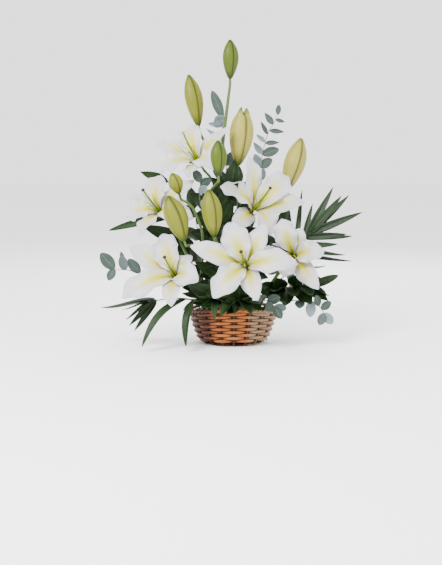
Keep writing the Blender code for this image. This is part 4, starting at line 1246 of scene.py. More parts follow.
    def build(self, name: str, finish: Material, outer_finish: Material,
              pistil_finish: Material, draw: random.Random) -> None:
        """Build and dress the flower.

        Args:
            name: The flower's name.
            finish: Finish of the inner whorl.
            outer_finish: Finish of the outer whorl.
            pistil_finish: Finish of the pistil and the filaments.
            draw: Source of the small differences between tepals.
        """
        dress(self.blades(name + "_sepals", OUTER, outer_finish, draw), "tepal",
              name + "_outer_tepals")
        dress(self.blades(name + "_petals", INNER, finish, draw), "tepal",
              name + "_inner_tepals")
        dress(RodMaker.make(name + "_style_and_filaments", self.pistil_rods(draw),
                            pistil_finish, self.pistil_sides), "pistil", name + "_pistil")


@dataclass
class Bud:
    """A closed bud of three keeled tepals, seated on the end of its stem."""

    base: Point
    tip: Point
    width: float
    look: BudLook
    parting: float = 0.0
    around: int = 60
    seat: float = 0.0012
    seat_width: float = 0.16
    row_steps: int = 5
    cream_from: float = 0.0345

    def build(self, name: str, finishes: dict[BudLook, Material]) -> None:
        """Build and dress the bud.

        Args:
            name: The bud's name.
            finishes: The bud finishes.
        """
        base, tip = Vector(self.base), Vector(self.tip)
        length = (tip - base).length
        outline = [(self.seat_width, -self.seat / length), *BUD_OUTLINE]
        rows = smoothed([(half, 0, rise) for half, rise in outline], self.row_steps)
        spots, rise, seam, stripe, skin = [], [], [], [], []
        for row in rows:
            for k in range(self.around):
                angle = math.tau * k / self.around
                keel = math.cos(3 * angle)
                off = abs(((angle / math.tau * 3) % 1.0) - 0.5) * 2
                line = math.exp(-((off / 0.10) ** 2)) * smoothstep(0.04, 0.20, row.z)
                ridge = math.exp(-(((1 - off) / 0.14) ** 2)) * smoothstep(0.1, 0.4, row.z)
                part = self.parting * smoothstep(0.80, 1.0, row.z)
                r = row.x * self.width / 2 * (1 + 0.06 * keel - 0.07 * line + 0.035 * ridge)
                r += part * 0.10 * self.width * (0.5 + 0.5 * keel)
                z = row.z * length - part * (1 - keel) * 0.05 * length
                spots.append((r * math.cos(angle), r * math.sin(angle), z))
                rise.append(row.z)
                seam.append(line)
                halo = math.exp(-((off / 0.30) ** 2)) + math.exp(-(((1 - off) / 0.10) ** 2))
                stripe.append(halo * (0.25 + 0.75 * abs(0.5 - row.z) * 2))
                skin.append((math.cos(angle), math.sin(angle), row.z * 0.7))
        n = self.around
        faces = [(i * n + j, i * n + (j + 1) % n, (i + 1) * n + (j + 1) % n, (i + 1) * n + j)
                 for i in range(len(rows) - 1) for j in range(n)]
        faces += [tuple(reversed(range(n))), tuple(range(len(spots) - n, len(spots)))]
        obj = mesh_object(name + "_closed", spots, [], faces)
        store(obj, "rise", rise)
        store(obj, "seam", seam)
        store(obj, "stripe", stripe)
        store_vectors(obj, "skin", skin)
        turn = Vector((0, 0, 1)).rotation_difference((tip - base).normalized())
        obj.data.transform(Matrix.Translation(base) @ turn.to_matrix().to_4x4())
        obj.data.materials.append(finishes[self.look])
        facing_out(obj)
        dress(obj, "bud_cream" if self.width > self.cream_from else "bud_green", name)


@dataclass
class LilyStem:
    """A forked lily stem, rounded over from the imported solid."""

    node: str
    cell: float = 0.0010
    rounds: int = 4
    swell: float = 0.0006

    def build(self, finish: Material, frame: dict) -> None:
        """Build and dress the stem.

        Args:
            finish: Its material.
            frame: The loaded frame.
        """
        obj = link(bpy.data.objects.new(self.node + "_forked",
                                        frame["nodes"][self.node].data.copy()))
        obj.data.materials.clear()
        obj.data.materials.append(finish)
        facing_out(obj)
        remesh = obj.modifiers.new("one skin", "REMESH")
        remesh.mode = "VOXEL"
        remesh.voxel_size = self.cell
        soft = obj.modifiers.new("round over", "SMOOTH")
        soft.factor = 0.5
        soft.iterations = self.rounds
        full = obj.modifiers.new("back to full width", "DISPLACE")
        full.mid_level = 0.0
        full.strength = self.swell
        baked(obj)
        dress(obj, "stem", self.node)


# ------------------------------------------------------------------ foliage

@dataclass(frozen=True)
class Leaf:
    """One leaf: where it starts and ends, its width, the way it faces, its outline and its arch."""

    base: Point
    tip: Point
    width: float
    facing: Point
    shape: LeafShape = LeafShape.OVATE
    sag: float = 0.0


class LeafMaker:
    """Makes leaves as instances of leaf outlines, with one Geometry Nodes tree."""

    tree: NodeTree | None = None
    outlines: bpy.types.Collection | None = None

    @staticmethod
    def outline(shape: LeafShape) -> Obj:
        """One leaf of length 1 and width 1 in its own frame.

        Args:
            shape: The leaf's outline.

        Returns:
            An unlinked object with a UV map and the rise along the leaf as an attribute.
        """
        def surface(u: float, v: float) -> tuple[float, float, float]:
            """Point at u along and v across."""
            if shape is LeafShape.ROUND:
                half = 0.5 * max(0.06, math.sin(math.pi * min(0.985, 0.04 + 0.95 * u)) ** 0.6)
                up = 0.10 * v * v + 0.02 * math.sin(9 * u + 2 * v)
            elif shape is LeafShape.OVATE:
                half = 0.5 * max(0.05, math.sin(math.pi * u ** 0.80) ** 0.90)
                up = (0.22 * abs(v) ** 1.4 + 0.05 * math.sin(15 * u + 1.5 * v) * v * v
                      - 0.30 * u * u)
            elif shape is LeafShape.BLADE:
                half = 0.80 * max(0.05, math.sin(math.pi * u ** 0.62) ** 0.70)
                up = 0.26 * abs(v) - 0.5 * u * u
            else:
                half = 0.5 * max(0.04, math.sin(math.pi * u ** 0.70) ** 0.60)
                up = 0.30 * abs(v) ** 1.2 + 0.03 * math.cos(14 * v)
            return half * v, u, up * half * 2

        mesh, rows = grid_mesh("outline_" + shape.name.lower(), surface, *shape.grid)
        obj = bpy.data.objects.new(f"outline_{shape.value}", mesh)
        store(obj, "rise", [u for u, _ in rows])
        return obj

    @classmethod
    def node_tree(cls) -> NodeTree:
        """The tree: an outline on each point, turned and sized, then arched and dressed."""
        if cls.tree is not None:
            return cls.tree
        cls.outlines = bpy.data.collections.new("leaf outlines")
        for shape in LeafShape:
            cls.outlines.objects.link(cls.outline(shape))
        tree, given, end = node_group(
            "leaves on points", "GeometryNodeTree",
            {"Geometry": ("NodeSocketGeometry", None), "Outlines": ("NodeSocketCollection", None),
             "Finish": ("NodeSocketMaterial", None)}, {"Geometry": "NodeSocketGeometry"})

        def named(name: str, kind: str) -> Socket:
            """A named attribute of the points."""
            return tree.add("GeometryNodeInputNamedAttribute", {"data_type": kind},
                            Name=name).outputs[0]

        forms = tree.add("GeometryNodeCollectionInfo", None, Collection=given["Outlines"],
                         Separate_Children=True, Reset_Children=True)
        turn = tree.add("FunctionNodeEulerToRotation", None, Euler=named("turn", "FLOAT_VECTOR"))
        leaves = tree.add("GeometryNodeInstanceOnPoints", None, Points=given["Geometry"],
                          Instance=forms.outputs[0], Pick_Instance=True,
                          Instance_Index=named("shape", "INT"), Rotation=turn.outputs[0],
                          Scale=named("size", "FLOAT_VECTOR"))
        whole = tree.add("GeometryNodeRealizeInstances", None, Geometry=leaves.outputs[0])
        bow = tree.math("SINE", tree.math("MULTIPLY", named("rise", "FLOAT"), math.pi))
        arch = tree.add("ShaderNodeVectorMath", {"operation": "SCALE"},
                        in0=named("arch", "FLOAT_VECTOR"), Scale=bow)
        bent = tree.add("GeometryNodeSetPosition", None, Geometry=whole.outputs[0],
                        Offset=arch.outputs[0])
        done = tree.add("GeometryNodeSetMaterial", None, Geometry=bent.outputs[0],
                        Material=given["Finish"])
        tree.tree.links.new(done.outputs[0], end.inputs[0])
        cls.tree = tree.tree
        return cls.tree

    @classmethod
    def make(cls, name: str, leaves: Sequence[Leaf], stem: Sequence[Vector],
             finish: Material, draw: random.Random) -> Obj:
        """Make the leaves of one sprig.

        Args:
            name: The piece's name.
            leaves: The leaves.
            stem: The stem's line, which each leaf's base is moved to.
            finish: Their material.
            draw: Source of the small differences between leaves.

        Returns:
            The leaves as one piece.
        """
        bases, turns, sizes, arches = [], [], [], []
        for leaf in leaves:
            base = nearest_on(stem, leaf.base)
            line = Vector(leaf.tip) - base
            side = line.cross(Vector(leaf.facing)).normalized()
            normal = side.cross(line).normalized()
            tilt = Matrix.Rotation(draw.uniform(-LEAF_TILT, LEAF_TILT), 3, line.normalized())
            side, normal = tilt @ side, tilt @ normal
            frame = Matrix((side, line.normalized(), normal)).transposed()
            bases.append(base)
            turns.append(frame.to_euler())
            sizes.append((leaf.width, line.length, leaf.width))
            arches.append(normal * -leaf.sag)
        obj = mesh_object(name, bases, [], [])
        store_vectors(obj, "turn", turns)
        store_vectors(obj, "size", sizes)
        store_vectors(obj, "arch", arches)
        store(obj, "tone", [draw.random() for _ in leaves])
        data = obj.data.attributes.new("shape", "INT", "POINT").data
        data.foreach_set("value", [leaf.shape.value for leaf in leaves])
        with_nodes(obj, cls.node_tree(), Outlines=cls.outlines, Finish=finish)
        return thickened(obj, LEAF_THICKNESS)

    @classmethod
    def put_away(cls) -> None:
        """Remove the outlines once every leaf is made."""
        for obj in list(cls.outlines.objects):
            bpy.data.objects.remove(obj)
        bpy.data.collections.remove(cls.outlines)


@dataclass
class Sprig:
    """A cut sprig: a stem that stands in the foam, and its leaves."""

    foot: tuple[float, float]
    lean: tuple[float, float]
    path: list[Point]
    leaves: list[Leaf]
    plant: Plant = Plant.GLOSSY
    radius: float = 0.0013
    more: list[Leaf] = field(default_factory=list)
    foot_height: float = 0.038
    collar_height: float = 0.074
    sides: int = 8

    def stem_line(self) -> list[Vector]:
        """The stem's centre line, straight in the foam and curved above it."""
        start = Vector((*self.foot, self.foot_height))
        collar = start + Vector((*self.lean, self.collar_height - self.foot_height))
        return [start, start.lerp(collar, 0.5), *smoothed([collar, *self.path], 6)]

    def build(self, name: str, finishes: dict[Plant, Material],
              stem_finishes: dict[Plant, Material], draw: random.Random) -> None:
        """Build and dress the sprig.

        Args:
            name: The sprig's name.
            finishes: The leaf finishes.
            stem_finishes: The stem finishes.
            draw: Source of the small differences between leaves.
        """
        line = self.stem_line()
        last = len(line) - 1
        radii = [self.radius * (1 - 0.5 * max(0, k - 2) / last) for k in range(len(line))]
        stem = RodMaker.make(name + "_stem", [Rod(line, radii)], stem_finishes[self.plant],
                             self.sides)
        leaves = LeafMaker.make(name + "_leaves", self.leaves + self.more, line,
                                finishes[self.plant], draw)
        slot = "eucalyptus" if self.plant is Plant.EUCALYPTUS else "leaf"
        dress(joined(name + "_sprig", [leaves, stem]), slot, name)


def grow(facing: Point, shape: LeafShape, *rows: Sequence[float]) -> list[Leaf]:
    """Leaves that face one way and share an outline.

    Args:
        facing: The way that their upper sides face.
        shape: Their outline.
        rows: In millimetres, each leaf's base, its tip, its width and, where it arches, its sag.

    Returns:
        The leaves.
    """
    found = []
    for row in rows:
        sizes = metres(*row)
        found.append(Leaf(sizes[:3], sizes[3:6], sizes[6], facing, shape, sum(sizes[7:])))
    return found


def paired_leaves(path: Sequence[Point], count: int, length: float, width: float, sag: float
                  ) -> list[Leaf]:
    """Leaves by turns to the left and right of a stem, and one at its end.

    Args:
        path: The stem's points.
        count: Leaves along the stem.
        length: Length of the lowest leaf.
        width: Width of the lowest leaf.
        sag: How far each leaf sags.

    Returns:
        The leaves.
    """
    given = smoothed(path, 4)
    facing = Vector(BACK)
    found = []
    for k in range(count):
        t = 0.05 + 0.95 * (k + 0.5) / count
        index = min(int(t * (len(given) - 1)), len(given) - 2)
        spot, after = given[index], given[index + 1]
        line = (after - spot).normalized()
        side = line.cross(facing).normalized() * (1 if k % 2 else -1)
        out = (line * 0.5 + side * 0.75 + facing.normalized() * 0.25).normalized()
        found.append(Leaf(spot, spot + out * length * (1.0 - 0.25 * t), width * (1.0 - 0.2 * t),
                          BACK, LeafShape.OVATE, sag))
    end = (given[-1] - given[-2]).normalized()
    found.append(Leaf(given[-1], given[-1] + end * length * 0.8, width * 0.8, BACK,
                      LeafShape.OVATE, sag))
    return found


def fan_leaves(path: Sequence[Point], tips: Sequence[Point]) -> list[Leaf]:
    """The leaflets of a palm leaf, spread along the end of its stem.

    Args:
        path: The stem's points.
        tips: Where the leaflets end.

    Returns:
        The leaflets.
    """
    root, shoot = Vector(path[-2]), Vector(path[-1])
    return [Leaf(shoot.lerp(root, (k + 0.4) / len(tips)), tip, LEAFLET_WIDTH, UP,
                 LeafShape.BLADE)
            for k, tip in enumerate(tips)]


# ------------------------------------------------------------------ the arrangement

def tepals(*rows: Sequence[float]) -> list[tuple[Point, float]]:
    """Each tepal's tip and width, from rows of x, y, z and width in millimetres."""
    return [(metres(*row[:3]), row[3] / 1000) for row in rows]


# hub, axis, stigma, outer whorl, inner whorl
LILIES = {
    "lily_1": Lily(
        metres(-66, 0, 357), (-0.45, -0.55, 0.7), metres(-98, -42, 418),
        tepals((-151, 45, 398, 34), (-7, 10, 429, 36), (-84, -55, 331, 36)),
        tepals((-87, 55, 432, 50), (-35, -72, 351, 40), (-144, -15, 338, 50)), dark_stigma=False),
    "lily_2": Lily(
        metres(-143, -20, 261), (-0.42, -0.7, 0.57), metres(-174, -79, 308),
        tepals((-208, 15, 291, 34), (-180, -75, 219, 34), (-77, -25, 325, 36)),
        tepals((-211, -12, 252, 46), (-78, -84, 252.5, 46), (-149, 8, 333, 48))),
    "lily_3": Lily(
        metres(-111, -80, 140), (-0.29, -0.8, 0.52), metres(-130, -146, 184),
        tepals((-202, -48, 196, 42), (-80, -85, 181, 36), (-117, -147, 91, 38)),
        tepals((-137, -50, 221, 52), (-67, -130, 138, 50), (-213, -105, 102, 50))),
    "lily_4": Lily(
        metres(24, -95, 162), (-0.13, -0.91, 0.39), metres(13, -169, 196),
        tepals((-82, -116, 202, 40), (44, -156, 103, 38), (62, -98, 243, 40)),
        tepals((-39, -143, 107, 52), (117, -137, 173, 46), (-9, -88, 245, 54))),
    "lily_5": Lily(
        metres(37, 5, 261), (0.47, -0.65, 0.6), metres(72, -51, 311),
        tepals((32, 26, 372, 38), (143, 22, 280, 38), (-3, -50, 233, 38)),
        tepals((109, 45, 332, 52), (-26, -35, 312, 50), (72, -40, 217, 48))),
    "lily_6": Lily(
        metres(121, -35, 175), (-0.25, -0.92, 0.31), metres(71, -93, 204),
        tepals((163, -98, 118, 38), (56, -52, 190, 32), (133, -60, 232, 38)),
        tepals((174, -88, 188, 44), (98, -80, 140, 40), (94, -45, 250, 44)), dark_style=True),
}

BUDS = {
    "bud_top": Bud(metres(-6, 30, 526), metres(-6, 30, 602), 0.031, BudLook.GREEN),
    "bud_upper_left": Bud(metres(-70, 80, 434), metres(-90, 85, 537), 0.035, BudLook.LIME),
    "bud_centre": Bud(metres(10, 50, 355), metres(20, 55, 470), 0.047, BudLook.CREAM, 1),
    "bud_green_front": Bud(metres(-29, -95, 336), metres(-30, -95, 402), 0.031, BudLook.GREEN),
    "bud_right": Bud(metres(109, 85, 302), metres(141, 100, 409), 0.043, BudLook.CREAM),
    "bud_small_left": Bud(metres(-104, -92, 301), metres(-117, -102, 340), 0.026, BudLook.LIME),
    "bud_left_front": Bud(metres(-94.5, -112, 213.5), metres(-124.5, -126, 298), 0.042,
                          BudLook.LIME),
    "bud_low_centre": Bud(metres(-37, -100, 220), metres(-48, -100, 309), 0.038, BudLook.LIME),
}

OVATE, ROUND, BLADE, STRAP = LeafShape

# foot, lean, stem, leaves, plant, stem radius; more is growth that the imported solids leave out
SPRIGS = {
    "eucalyptus_left": Sprig(
        metres(-54, 12), metres(-4, 1),
        points((-90, 20, 104), (-130, 10, 122), (-170, -4, 136), (-205, -14, 146),
            (-236, -19, 150)),
        grow(FRONT, ROUND, (-236, -19, 150, -262, -20, 181, 25),
            (-236, -19, 150, -246, -30, 128, 18), (-214, -16, 148, -221, -30, 177, 19),
            (-214, -16, 148, -224, 4, 182, 12), (-186, -9, 141, -207, -22, 170, 21))
        + grow(BACK, ROUND, (-160, -1, 132, -168, 20, 160, 20)),
        Plant.EUCALYPTUS),
    "palm_left": Sprig(
        metres(-56, -20), metres(-3, -1),
        points((-86, -36, 91), (-125, -48, 94), (-165, -52, 88)),
        grow(UP, BLADE, (-150, -50, 91, -261, -30, 75, 17), (-165, -52, 88, -218, -62, 74, 8),
            (-162, -52, 88, -209, -82, 57, 8))
        + grow(FRONT, BLADE, (-156, -51, 89, -203, -70, 44, 8), (-150, -50, 90, -195, -48, 30, 8)),
        Plant.PALM, 0.0017),
    "palm_right": Sprig(
        metres(52, 8), metres(4, 1),
        points((84, 18, 130), (112, 14, 170), (135, 8, 198), (156, 4, 222)),
        grow(FRONT, BLADE, (140, 8, 205, 160, 30, 277, 7), (148, 5, 214, 200, 20, 310, 10),
            (152, 5, 218, 214, -10, 294, 10), (155.5, 4, 221.5, 232, 22, 294, 10),
            (154, 4, 219.5, 254, -20, 262, 10), (146.5, 6, 211, 223, -26, 219, 9))
        + grow(LOW, BLADE, (143, 6, 207, 238, 0, 214, 10))
        + grow(FRONT, BLADE, (130, 9, 192, 206, -30, 200, 9))
        + grow(LOW, BLADE, (122, 11, 182, 222, -20, 178, 10), (114, 13, 172, 238, 4, 164, 10))
        + grow(FRONT, BLADE, (125, 10, 186, 140, 46, 304, 7), (108, 14, 164, 115, 34, 262, 11)),
        Plant.PALM, 0.0018),
    "long_leaf_left": Sprig(
        metres(-44, -40), metres(-4, -3),
        points((-66, -58, 92), (-92, -70, 95)),
        grow((-0.6, -0.5, 0.7), STRAP, (-92, -70, 95, -174, -130, 11, 23, -16)),
        Plant.STRAP, 0.0018),
    "long_leaf_front": Sprig(
        metres(-32, -54), metres(-3, -3),
        points((-56, -78, 90), (-78, -94, 96)),
        grow((-0.4, -0.9, 0.4), STRAP, (-78, -94, 96, -90.5, -131, 12, 17, -12)),
        Plant.STRAP, 0.0018),
    "rim_leaf_left": Sprig(
        metres(-52, -40), metres(-4, -3),
        points((-62, -48, 84)),
        grow(UP, ROUND, (-62, -48, 84, -98, -56, 71, 26, -5)),
        Plant.PALE, 0.0013),
    "eucalyptus_top": Sprig(
        metres(-4, 40), metres(0, 1),
        points((-6, 54, 200), (-12, 60, 330), (-20, 60, 420), (-21, 60, 450)),
        grow(FRONT, ROUND, (-21, 60, 450, -42, 60, 503, 20), (-20, 60, 434, -34, 44, 452, 27))
        + grow(FRONT, OVATE, (-20, 60, 432, -50, 52, 438, 13), (-18, 60, 400, -54, 90, 428, 11))
        + grow(BACK, ROUND, (-16, 60, 385, -46, 66, 398, 20), (-14, 60, 355, 6, 90, 380, 22),
            (-11, 60, 320, -40, 76, 344, 22)),
        Plant.EUCALYPTUS),
    "eucalyptus_upper_right": Sprig(
        metres(12, 44), metres(1, 1),
        points((28, 64, 180), (46, 80, 290), (60, 82, 372), (71, 81, 416), (82, 80, 436),
            (92, 80, 457)),
        grow(FRONT, ROUND, (92, 80, 456, 94, 78, 476, 11))
        + grow(FRONT, OVATE, (88, 80, 446, 106, 76, 441, 8), (82, 80, 436, 65, 78, 460, 13),
            (75, 81, 424, 105, 78, 421, 10), (71, 81, 416, 57, 74, 442, 9),
            (67, 81, 400, 48, 76, 416, 10), (67, 81, 398, 95, 78, 400, 10))
        + grow(FRONT, ROUND, (61, 82, 376, 94, 74, 386, 20))
        + grow(FRONT, OVATE, (61, 82, 376, 42, 72, 400, 13))
        + grow(FRONT, ROUND, (56, 82, 350, 44, 62, 376, 18), (56, 82, 350, 80, 70, 366, 20),
            (51, 81, 322, 64, 62, 346, 20)),
        Plant.EUCALYPTUS, 0.0011),
    "eucalyptus_middle": Sprig(
        metres(-30, 4), metres(-2, 0),
        points((-46, 2, 150), (-58, -4, 230), (-66, -18, 290), (-64, -36, 322)),
        grow(FRONT, ROUND, (-64, -36, 322, -76, -40, 345, 18), (-65, -32, 316, -43, -44, 328, 18),
            (-66, -22, 298, -52, -44, 314, 18), (-63, -12, 270, -40, -34, 292, 22)),
        Plant.EUCALYPTUS),
    "eucalyptus_rim": Sprig(
        metres(40, -44), metres(3, -3),
        points((56, -66, 91), (70, -82, 92), (80, -94, 82)),
        grow(FRONT, ROUND, (56, -66, 91, 50, -92, 106, 22), (66, -78, 92, 90, -90, 102, 20),
            (74, -88, 89, 64, -110, 78, 22), (80, -94, 82, 92, -102, 62, 18),
            (79, -92, 84, 102, -92, 80, 16)),
        Plant.EUCALYPTUS),
    "eucalyptus_right": Sprig(
        metres(54, -24), metres(4, -2),
        points((88, -40, 87), (126, -56, 91), (154, -62, 90), (168, -63, 80), (178, -62, 66)),
        grow(FRONT, ROUND, (152, -62, 90, 150, -66, 60, 20), (166, -63, 81, 160, -78, 104, 15),
            (172, -63, 75, 190, -64, 90, 16), (178, -62, 67, 168, -64, 44, 18),
            (178, -62, 67, 194, -60, 46, 19), (130, -57, 91, 128, -90, 80, 20)),
        Plant.EUCALYPTUS),
    "greenery_right": Sprig(
        metres(58, -8), metres(4, -1),
        points((86, -14, 102), (120, -20, 114), (154, -34, 116)),
        grow(UP, OVATE, (154, -34, 116, 188, -50, 100, 26))
        + grow(FRONT, ROUND, (152, -33, 116, 206, -42, 139, 17))
        + grow(UP, OVATE, (136, -27, 115, 150, -94, 106, 30), (118, -20, 114, 116, -96, 104, 32),
            (98, -16, 107, 74, -80, 114, 28), (126, -22, 115, 164, 34, 104, 30),
            (100, -16, 108, 124, 52, 104, 32))
        + grow(LOW, OVATE, (110, -18, 111, 100, -90, 85, 38), (125, -22, 114, 150, -85, 88, 36),
            (140, -28, 115, 185, -60, 92, 34))
        + grow(FRONT, OVATE, (120, -20, 114, 130, -60, 140, 34), (95, -15, 105, 85, -55, 135, 34),
            (140, -28, 115, 165, -55, 135, 30), (88, -14, 102, 45, -50, 120, 34)),
        Plant.GLOSSY, 0.0016,
        more=grow(LOW, OVATE, (100, -16, 108, 60, -75, 98, 36))),
    "greenery_front": Sprig(
        metres(12, -52), metres(0, -3),
        points((13, -64, 94)),
        grow(UP, OVATE, (13, -64, 94, -26, -110, 66, 26, -12), (13, -64, 93, 34, -114, 72, 28, -6),
            (13, -62, 90, 2, -118, 74, 22, -6), (13, -62, 90, 50, -108, 93, 24)),
        Plant.GLOSSY, 0.0014,
        more=grow(FRONT, OVATE, (13, -60, 88, 10, -85, 128, 30), (13, -58, 86, 36, -75, 126, 30),
            (13, -58, 86, -22, -78, 124, 30))
        + grow(LOW, OVATE, (13, -62, 90, -30, -100, 100, 30), (13, -62, 90, 30, -100, 104, 30),
            (13, -60, 88, -12, -112, 72, 28), (13, -60, 88, 60, -98, 78, 28))),
    "greenery_front_left": Sprig(
        metres(-10, -48), metres(-2, -3),
        points((-22, -64, 90), (-34, -74, 96)),
        grow(FRONT, OVATE, (-34, -74, 96, -37, -112, 58, 13, -8))
        + grow(UP, OVATE, (-32, -72, 95, -70, -104, 106, 26), (-26, -67, 92, -14, -110, 108, 22)),
        Plant.GLOSSY, 0.0014,
        more=grow(FRONT, OVATE, (-22, -64, 90, -48, -76, 135, 32),
            (-30, -70, 94, -92, -82, 130, 30))
        + grow(LOW, OVATE, (-30, -70, 94, -80, -90, 90, 30), (-26, -67, 92, -62, -105, 85, 28),
            (-34, -74, 96, -50, -115, 110, 28), (-30, -70, 94, -100, -75, 108, 30))
        + grow(FRONT, OVATE, (-22, -64, 90, -75, -70, 125, 32))),
    "greenery_centre": Sprig(
        metres(2, -2), metres(0, 0),
        points((-4, -4, 120), (-18, -4, 180), (-26, -4, 240), (-30, -8, 290)),
        grow(FRONT, OVATE, (-30, -8, 290, -24, -30, 334, 28), (-28, -6, 262, -52, -30, 258, 20),
            (-26, -4, 240, -4, -40, 286, 30), (-24, -4, 220, -50, -16, 214, 26),
            (-18, -4, 182, -50, 22, 204, 28), (-10, -4, 150, -66, -34, 136, 30),
            (-18, -4, 180, 34, -34, 210, 28), (-22, -4, 205, -85, -30, 225, 36),
            (-24, -4, 225, -75, -40, 262, 36), (-26, -4, 240, 20, -30, 235, 34)),
        Plant.GLOSSY, 0.0016,
        more=grow(FRONT, OVATE, (-6, -4, 125, -75, -40, 165, 34), (-6, -4, 115, -80, -45, 118, 34),
            (-4, -4, 110, -50, -60, 95, 30), (-4, -4, 105, -10, -60, 112, 32),
            (-10, -4, 140, -45, -50, 190, 32), (-26, -4, 240, -60, -35, 300, 34),
            (-28, -6, 262, -85, -10, 300, 34), (-28, -6, 270, 10, -30, 320, 32),
            (-18, -4, 190, -60, -45, 205, 34))),
    "greenery_upper": Sprig(
        metres(4, 12), metres(0, 1),
        points((5, 16, 150), (1, 20, 240), (-4, 22, 310)),
        grow(FRONT, OVATE, (-4, 22, 310, 4, 12, 366, 30), (-2, 21, 290, -44, 8, 330, 28))
        + grow(BACK, OVATE, (1, 20, 240, 46, 50, 280, 30), (1, 20, 244, -40, 48, 276, 30))
        + grow(FRONT, OVATE, (-2, 21, 290, 40, 10, 320, 34), (1, 20, 260, -40, 0, 290, 34),
            (4, 18, 200, 50, 0, 230, 34), (4, 18, 180, 60, -10, 170, 34),
            (4, 18, 160, 75, 10, 190, 36), (4, 18, 150, 70, 0, 130, 36)),
        Plant.GLOSSY, 0.0016),
    "greenery_left": Sprig(
        metres(-36, 18), metres(-2, 1),
        points((-58, 34, 130), (-90, 40, 200), (-112, 44, 260), (-130, 42, 320)),
        grow(FRONT, OVATE, (-130, 42, 320, -186, 30, 341, 20))
        + grow(FRONT, STRAP, (-110, 44, 256, -252, 46, 222, 18, -12))
        + grow(FRONT, OVATE, (-88, 40, 196, -182, -6, 236, 30))
        + grow(BACK, OVATE, (-78, 38, 176, -140, 50, 172, 30), (-122, 43, 292, -92, 78, 322, 28)),
        Plant.GLOSSY, 0.0016,
        more=grow(FRONT, OVATE, (-58, 34, 130, -110, -10, 150, 34),
            (-50, 30, 115, -100, -20, 112, 34), (-70, 36, 160, -75, -20, 195, 34),
            (-80, 38, 180, -120, 0, 215, 34))),
    "back_greenery_left": Sprig(
        metres(-30, 46), metres(-2, 3),
        path := points((-46, 84, 130), (-68, 104, 200), (-80, 110, 262)),
        paired_leaves(path, 6, *metres(62, 32, -4)),
        Plant.GLOSSY, 0.0016),
    "back_greenery_middle": Sprig(
        metres(0, 56), metres(0, 3),
        path := points((4, 96, 150), (8, 112, 230), (10, 112, 310)),
        paired_leaves(path, 7, *metres(58, 31, -4)),
        Plant.GLOSSY, 0.0016),
    "back_greenery_right": Sprig(
        metres(34, 44), metres(2, 3),
        path := points((62, 84, 124), (88, 106, 176), (104, 112, 226)),
        paired_leaves(path, 6, *metres(56, 31, -4)),
        Plant.GLOSSY, 0.0016),
    "palm_back_left": Sprig(
        metres(-50, 32), metres(-3, 2),
        path := points((-82, 62, 112), (-116, 88, 140), (-136, 104, 150)),
        fan_leaves(path, points((-206, 128, 118), (-196, 150, 152), (-172, 172, 178),
            (-190, 110, 186), (-150, 178, 132), (-122, 176, 100))),
        Plant.PALM, 0.0017),
    "palm_back_right": Sprig(
        metres(50, 30), metres(3, 2),
        path := points((84, 60, 108), (116, 82, 132), (136, 94, 140)),
        fan_leaves(path, points((202, 118, 110), (198, 142, 142), (176, 168, 164), (186, 102, 172),
            (154, 170, 118), (128, 168, 90))),
        Plant.PALM, 0.0017),
}


# body, seam, base and tip
BUD_COLOURS = {
    BudLook.GREEN: ((0.050, 0.080, 0.0003), (0.003, 0.007, 0.0002), (0.008, 0.020, 0.0004),
                    (0.075, 0.095, 0.001)),
    BudLook.LIME: ((0.110, 0.120, 0.002), (0.006, 0.012, 0.0003), (0.024, 0.042, 0.0006),
                   (0.22, 0.21, 0.014)),
    BudLook.CREAM: ((0.24, 0.215, 0.026), (0.012, 0.018, 0.0006), (0.038, 0.055, 0.001),
                    (0.36, 0.32, 0.090))}

# dark, light, midrib, roughness, vein count and the colour of leaves that show their pale side
LEAF_COLOURS = {
    Plant.GLOSSY: ((0.0014, 0.0070, 0.0010), (0.010, 0.032, 0.0035), (0.018, 0.044, 0.008),
                   0.48, 14.0),
    Plant.PALM: ((0.0014, 0.0070, 0.0012), (0.008, 0.024, 0.005), (0.022, 0.046, 0.014),
                 0.45, 10.0),
    Plant.STRAP: ((0.0016, 0.0085, 0.0010), (0.008, 0.028, 0.003), (0.020, 0.048, 0.010),
                  0.45, 16.0),
    Plant.PALE: ((0.060, 0.105, 0.014), (0.15, 0.20, 0.040), (0.24, 0.28, 0.09), 0.55, 12.0),
    Plant.EUCALYPTUS: ((0.011, 0.024, 0.016), (0.046, 0.068, 0.055), (0.075, 0.105, 0.090),
                       0.60, 10.0, (0.18, 0.22, 0.25))}


# ------------------------------------------------------------------ studio

# name, place, aim, power in watts and side
LAMPS = (("key", (-0.9, -1.7, 1.7), (0, 0, 0.25), 120.0, 0.8),
         ("fill", (1.6, -1.3, 0.9), (0, 0, 0.25), 24.0, 1.4),
         ("back", (0.3, 1.6, 1.5), (0, 0, 0.3), 34.0, 1.2))


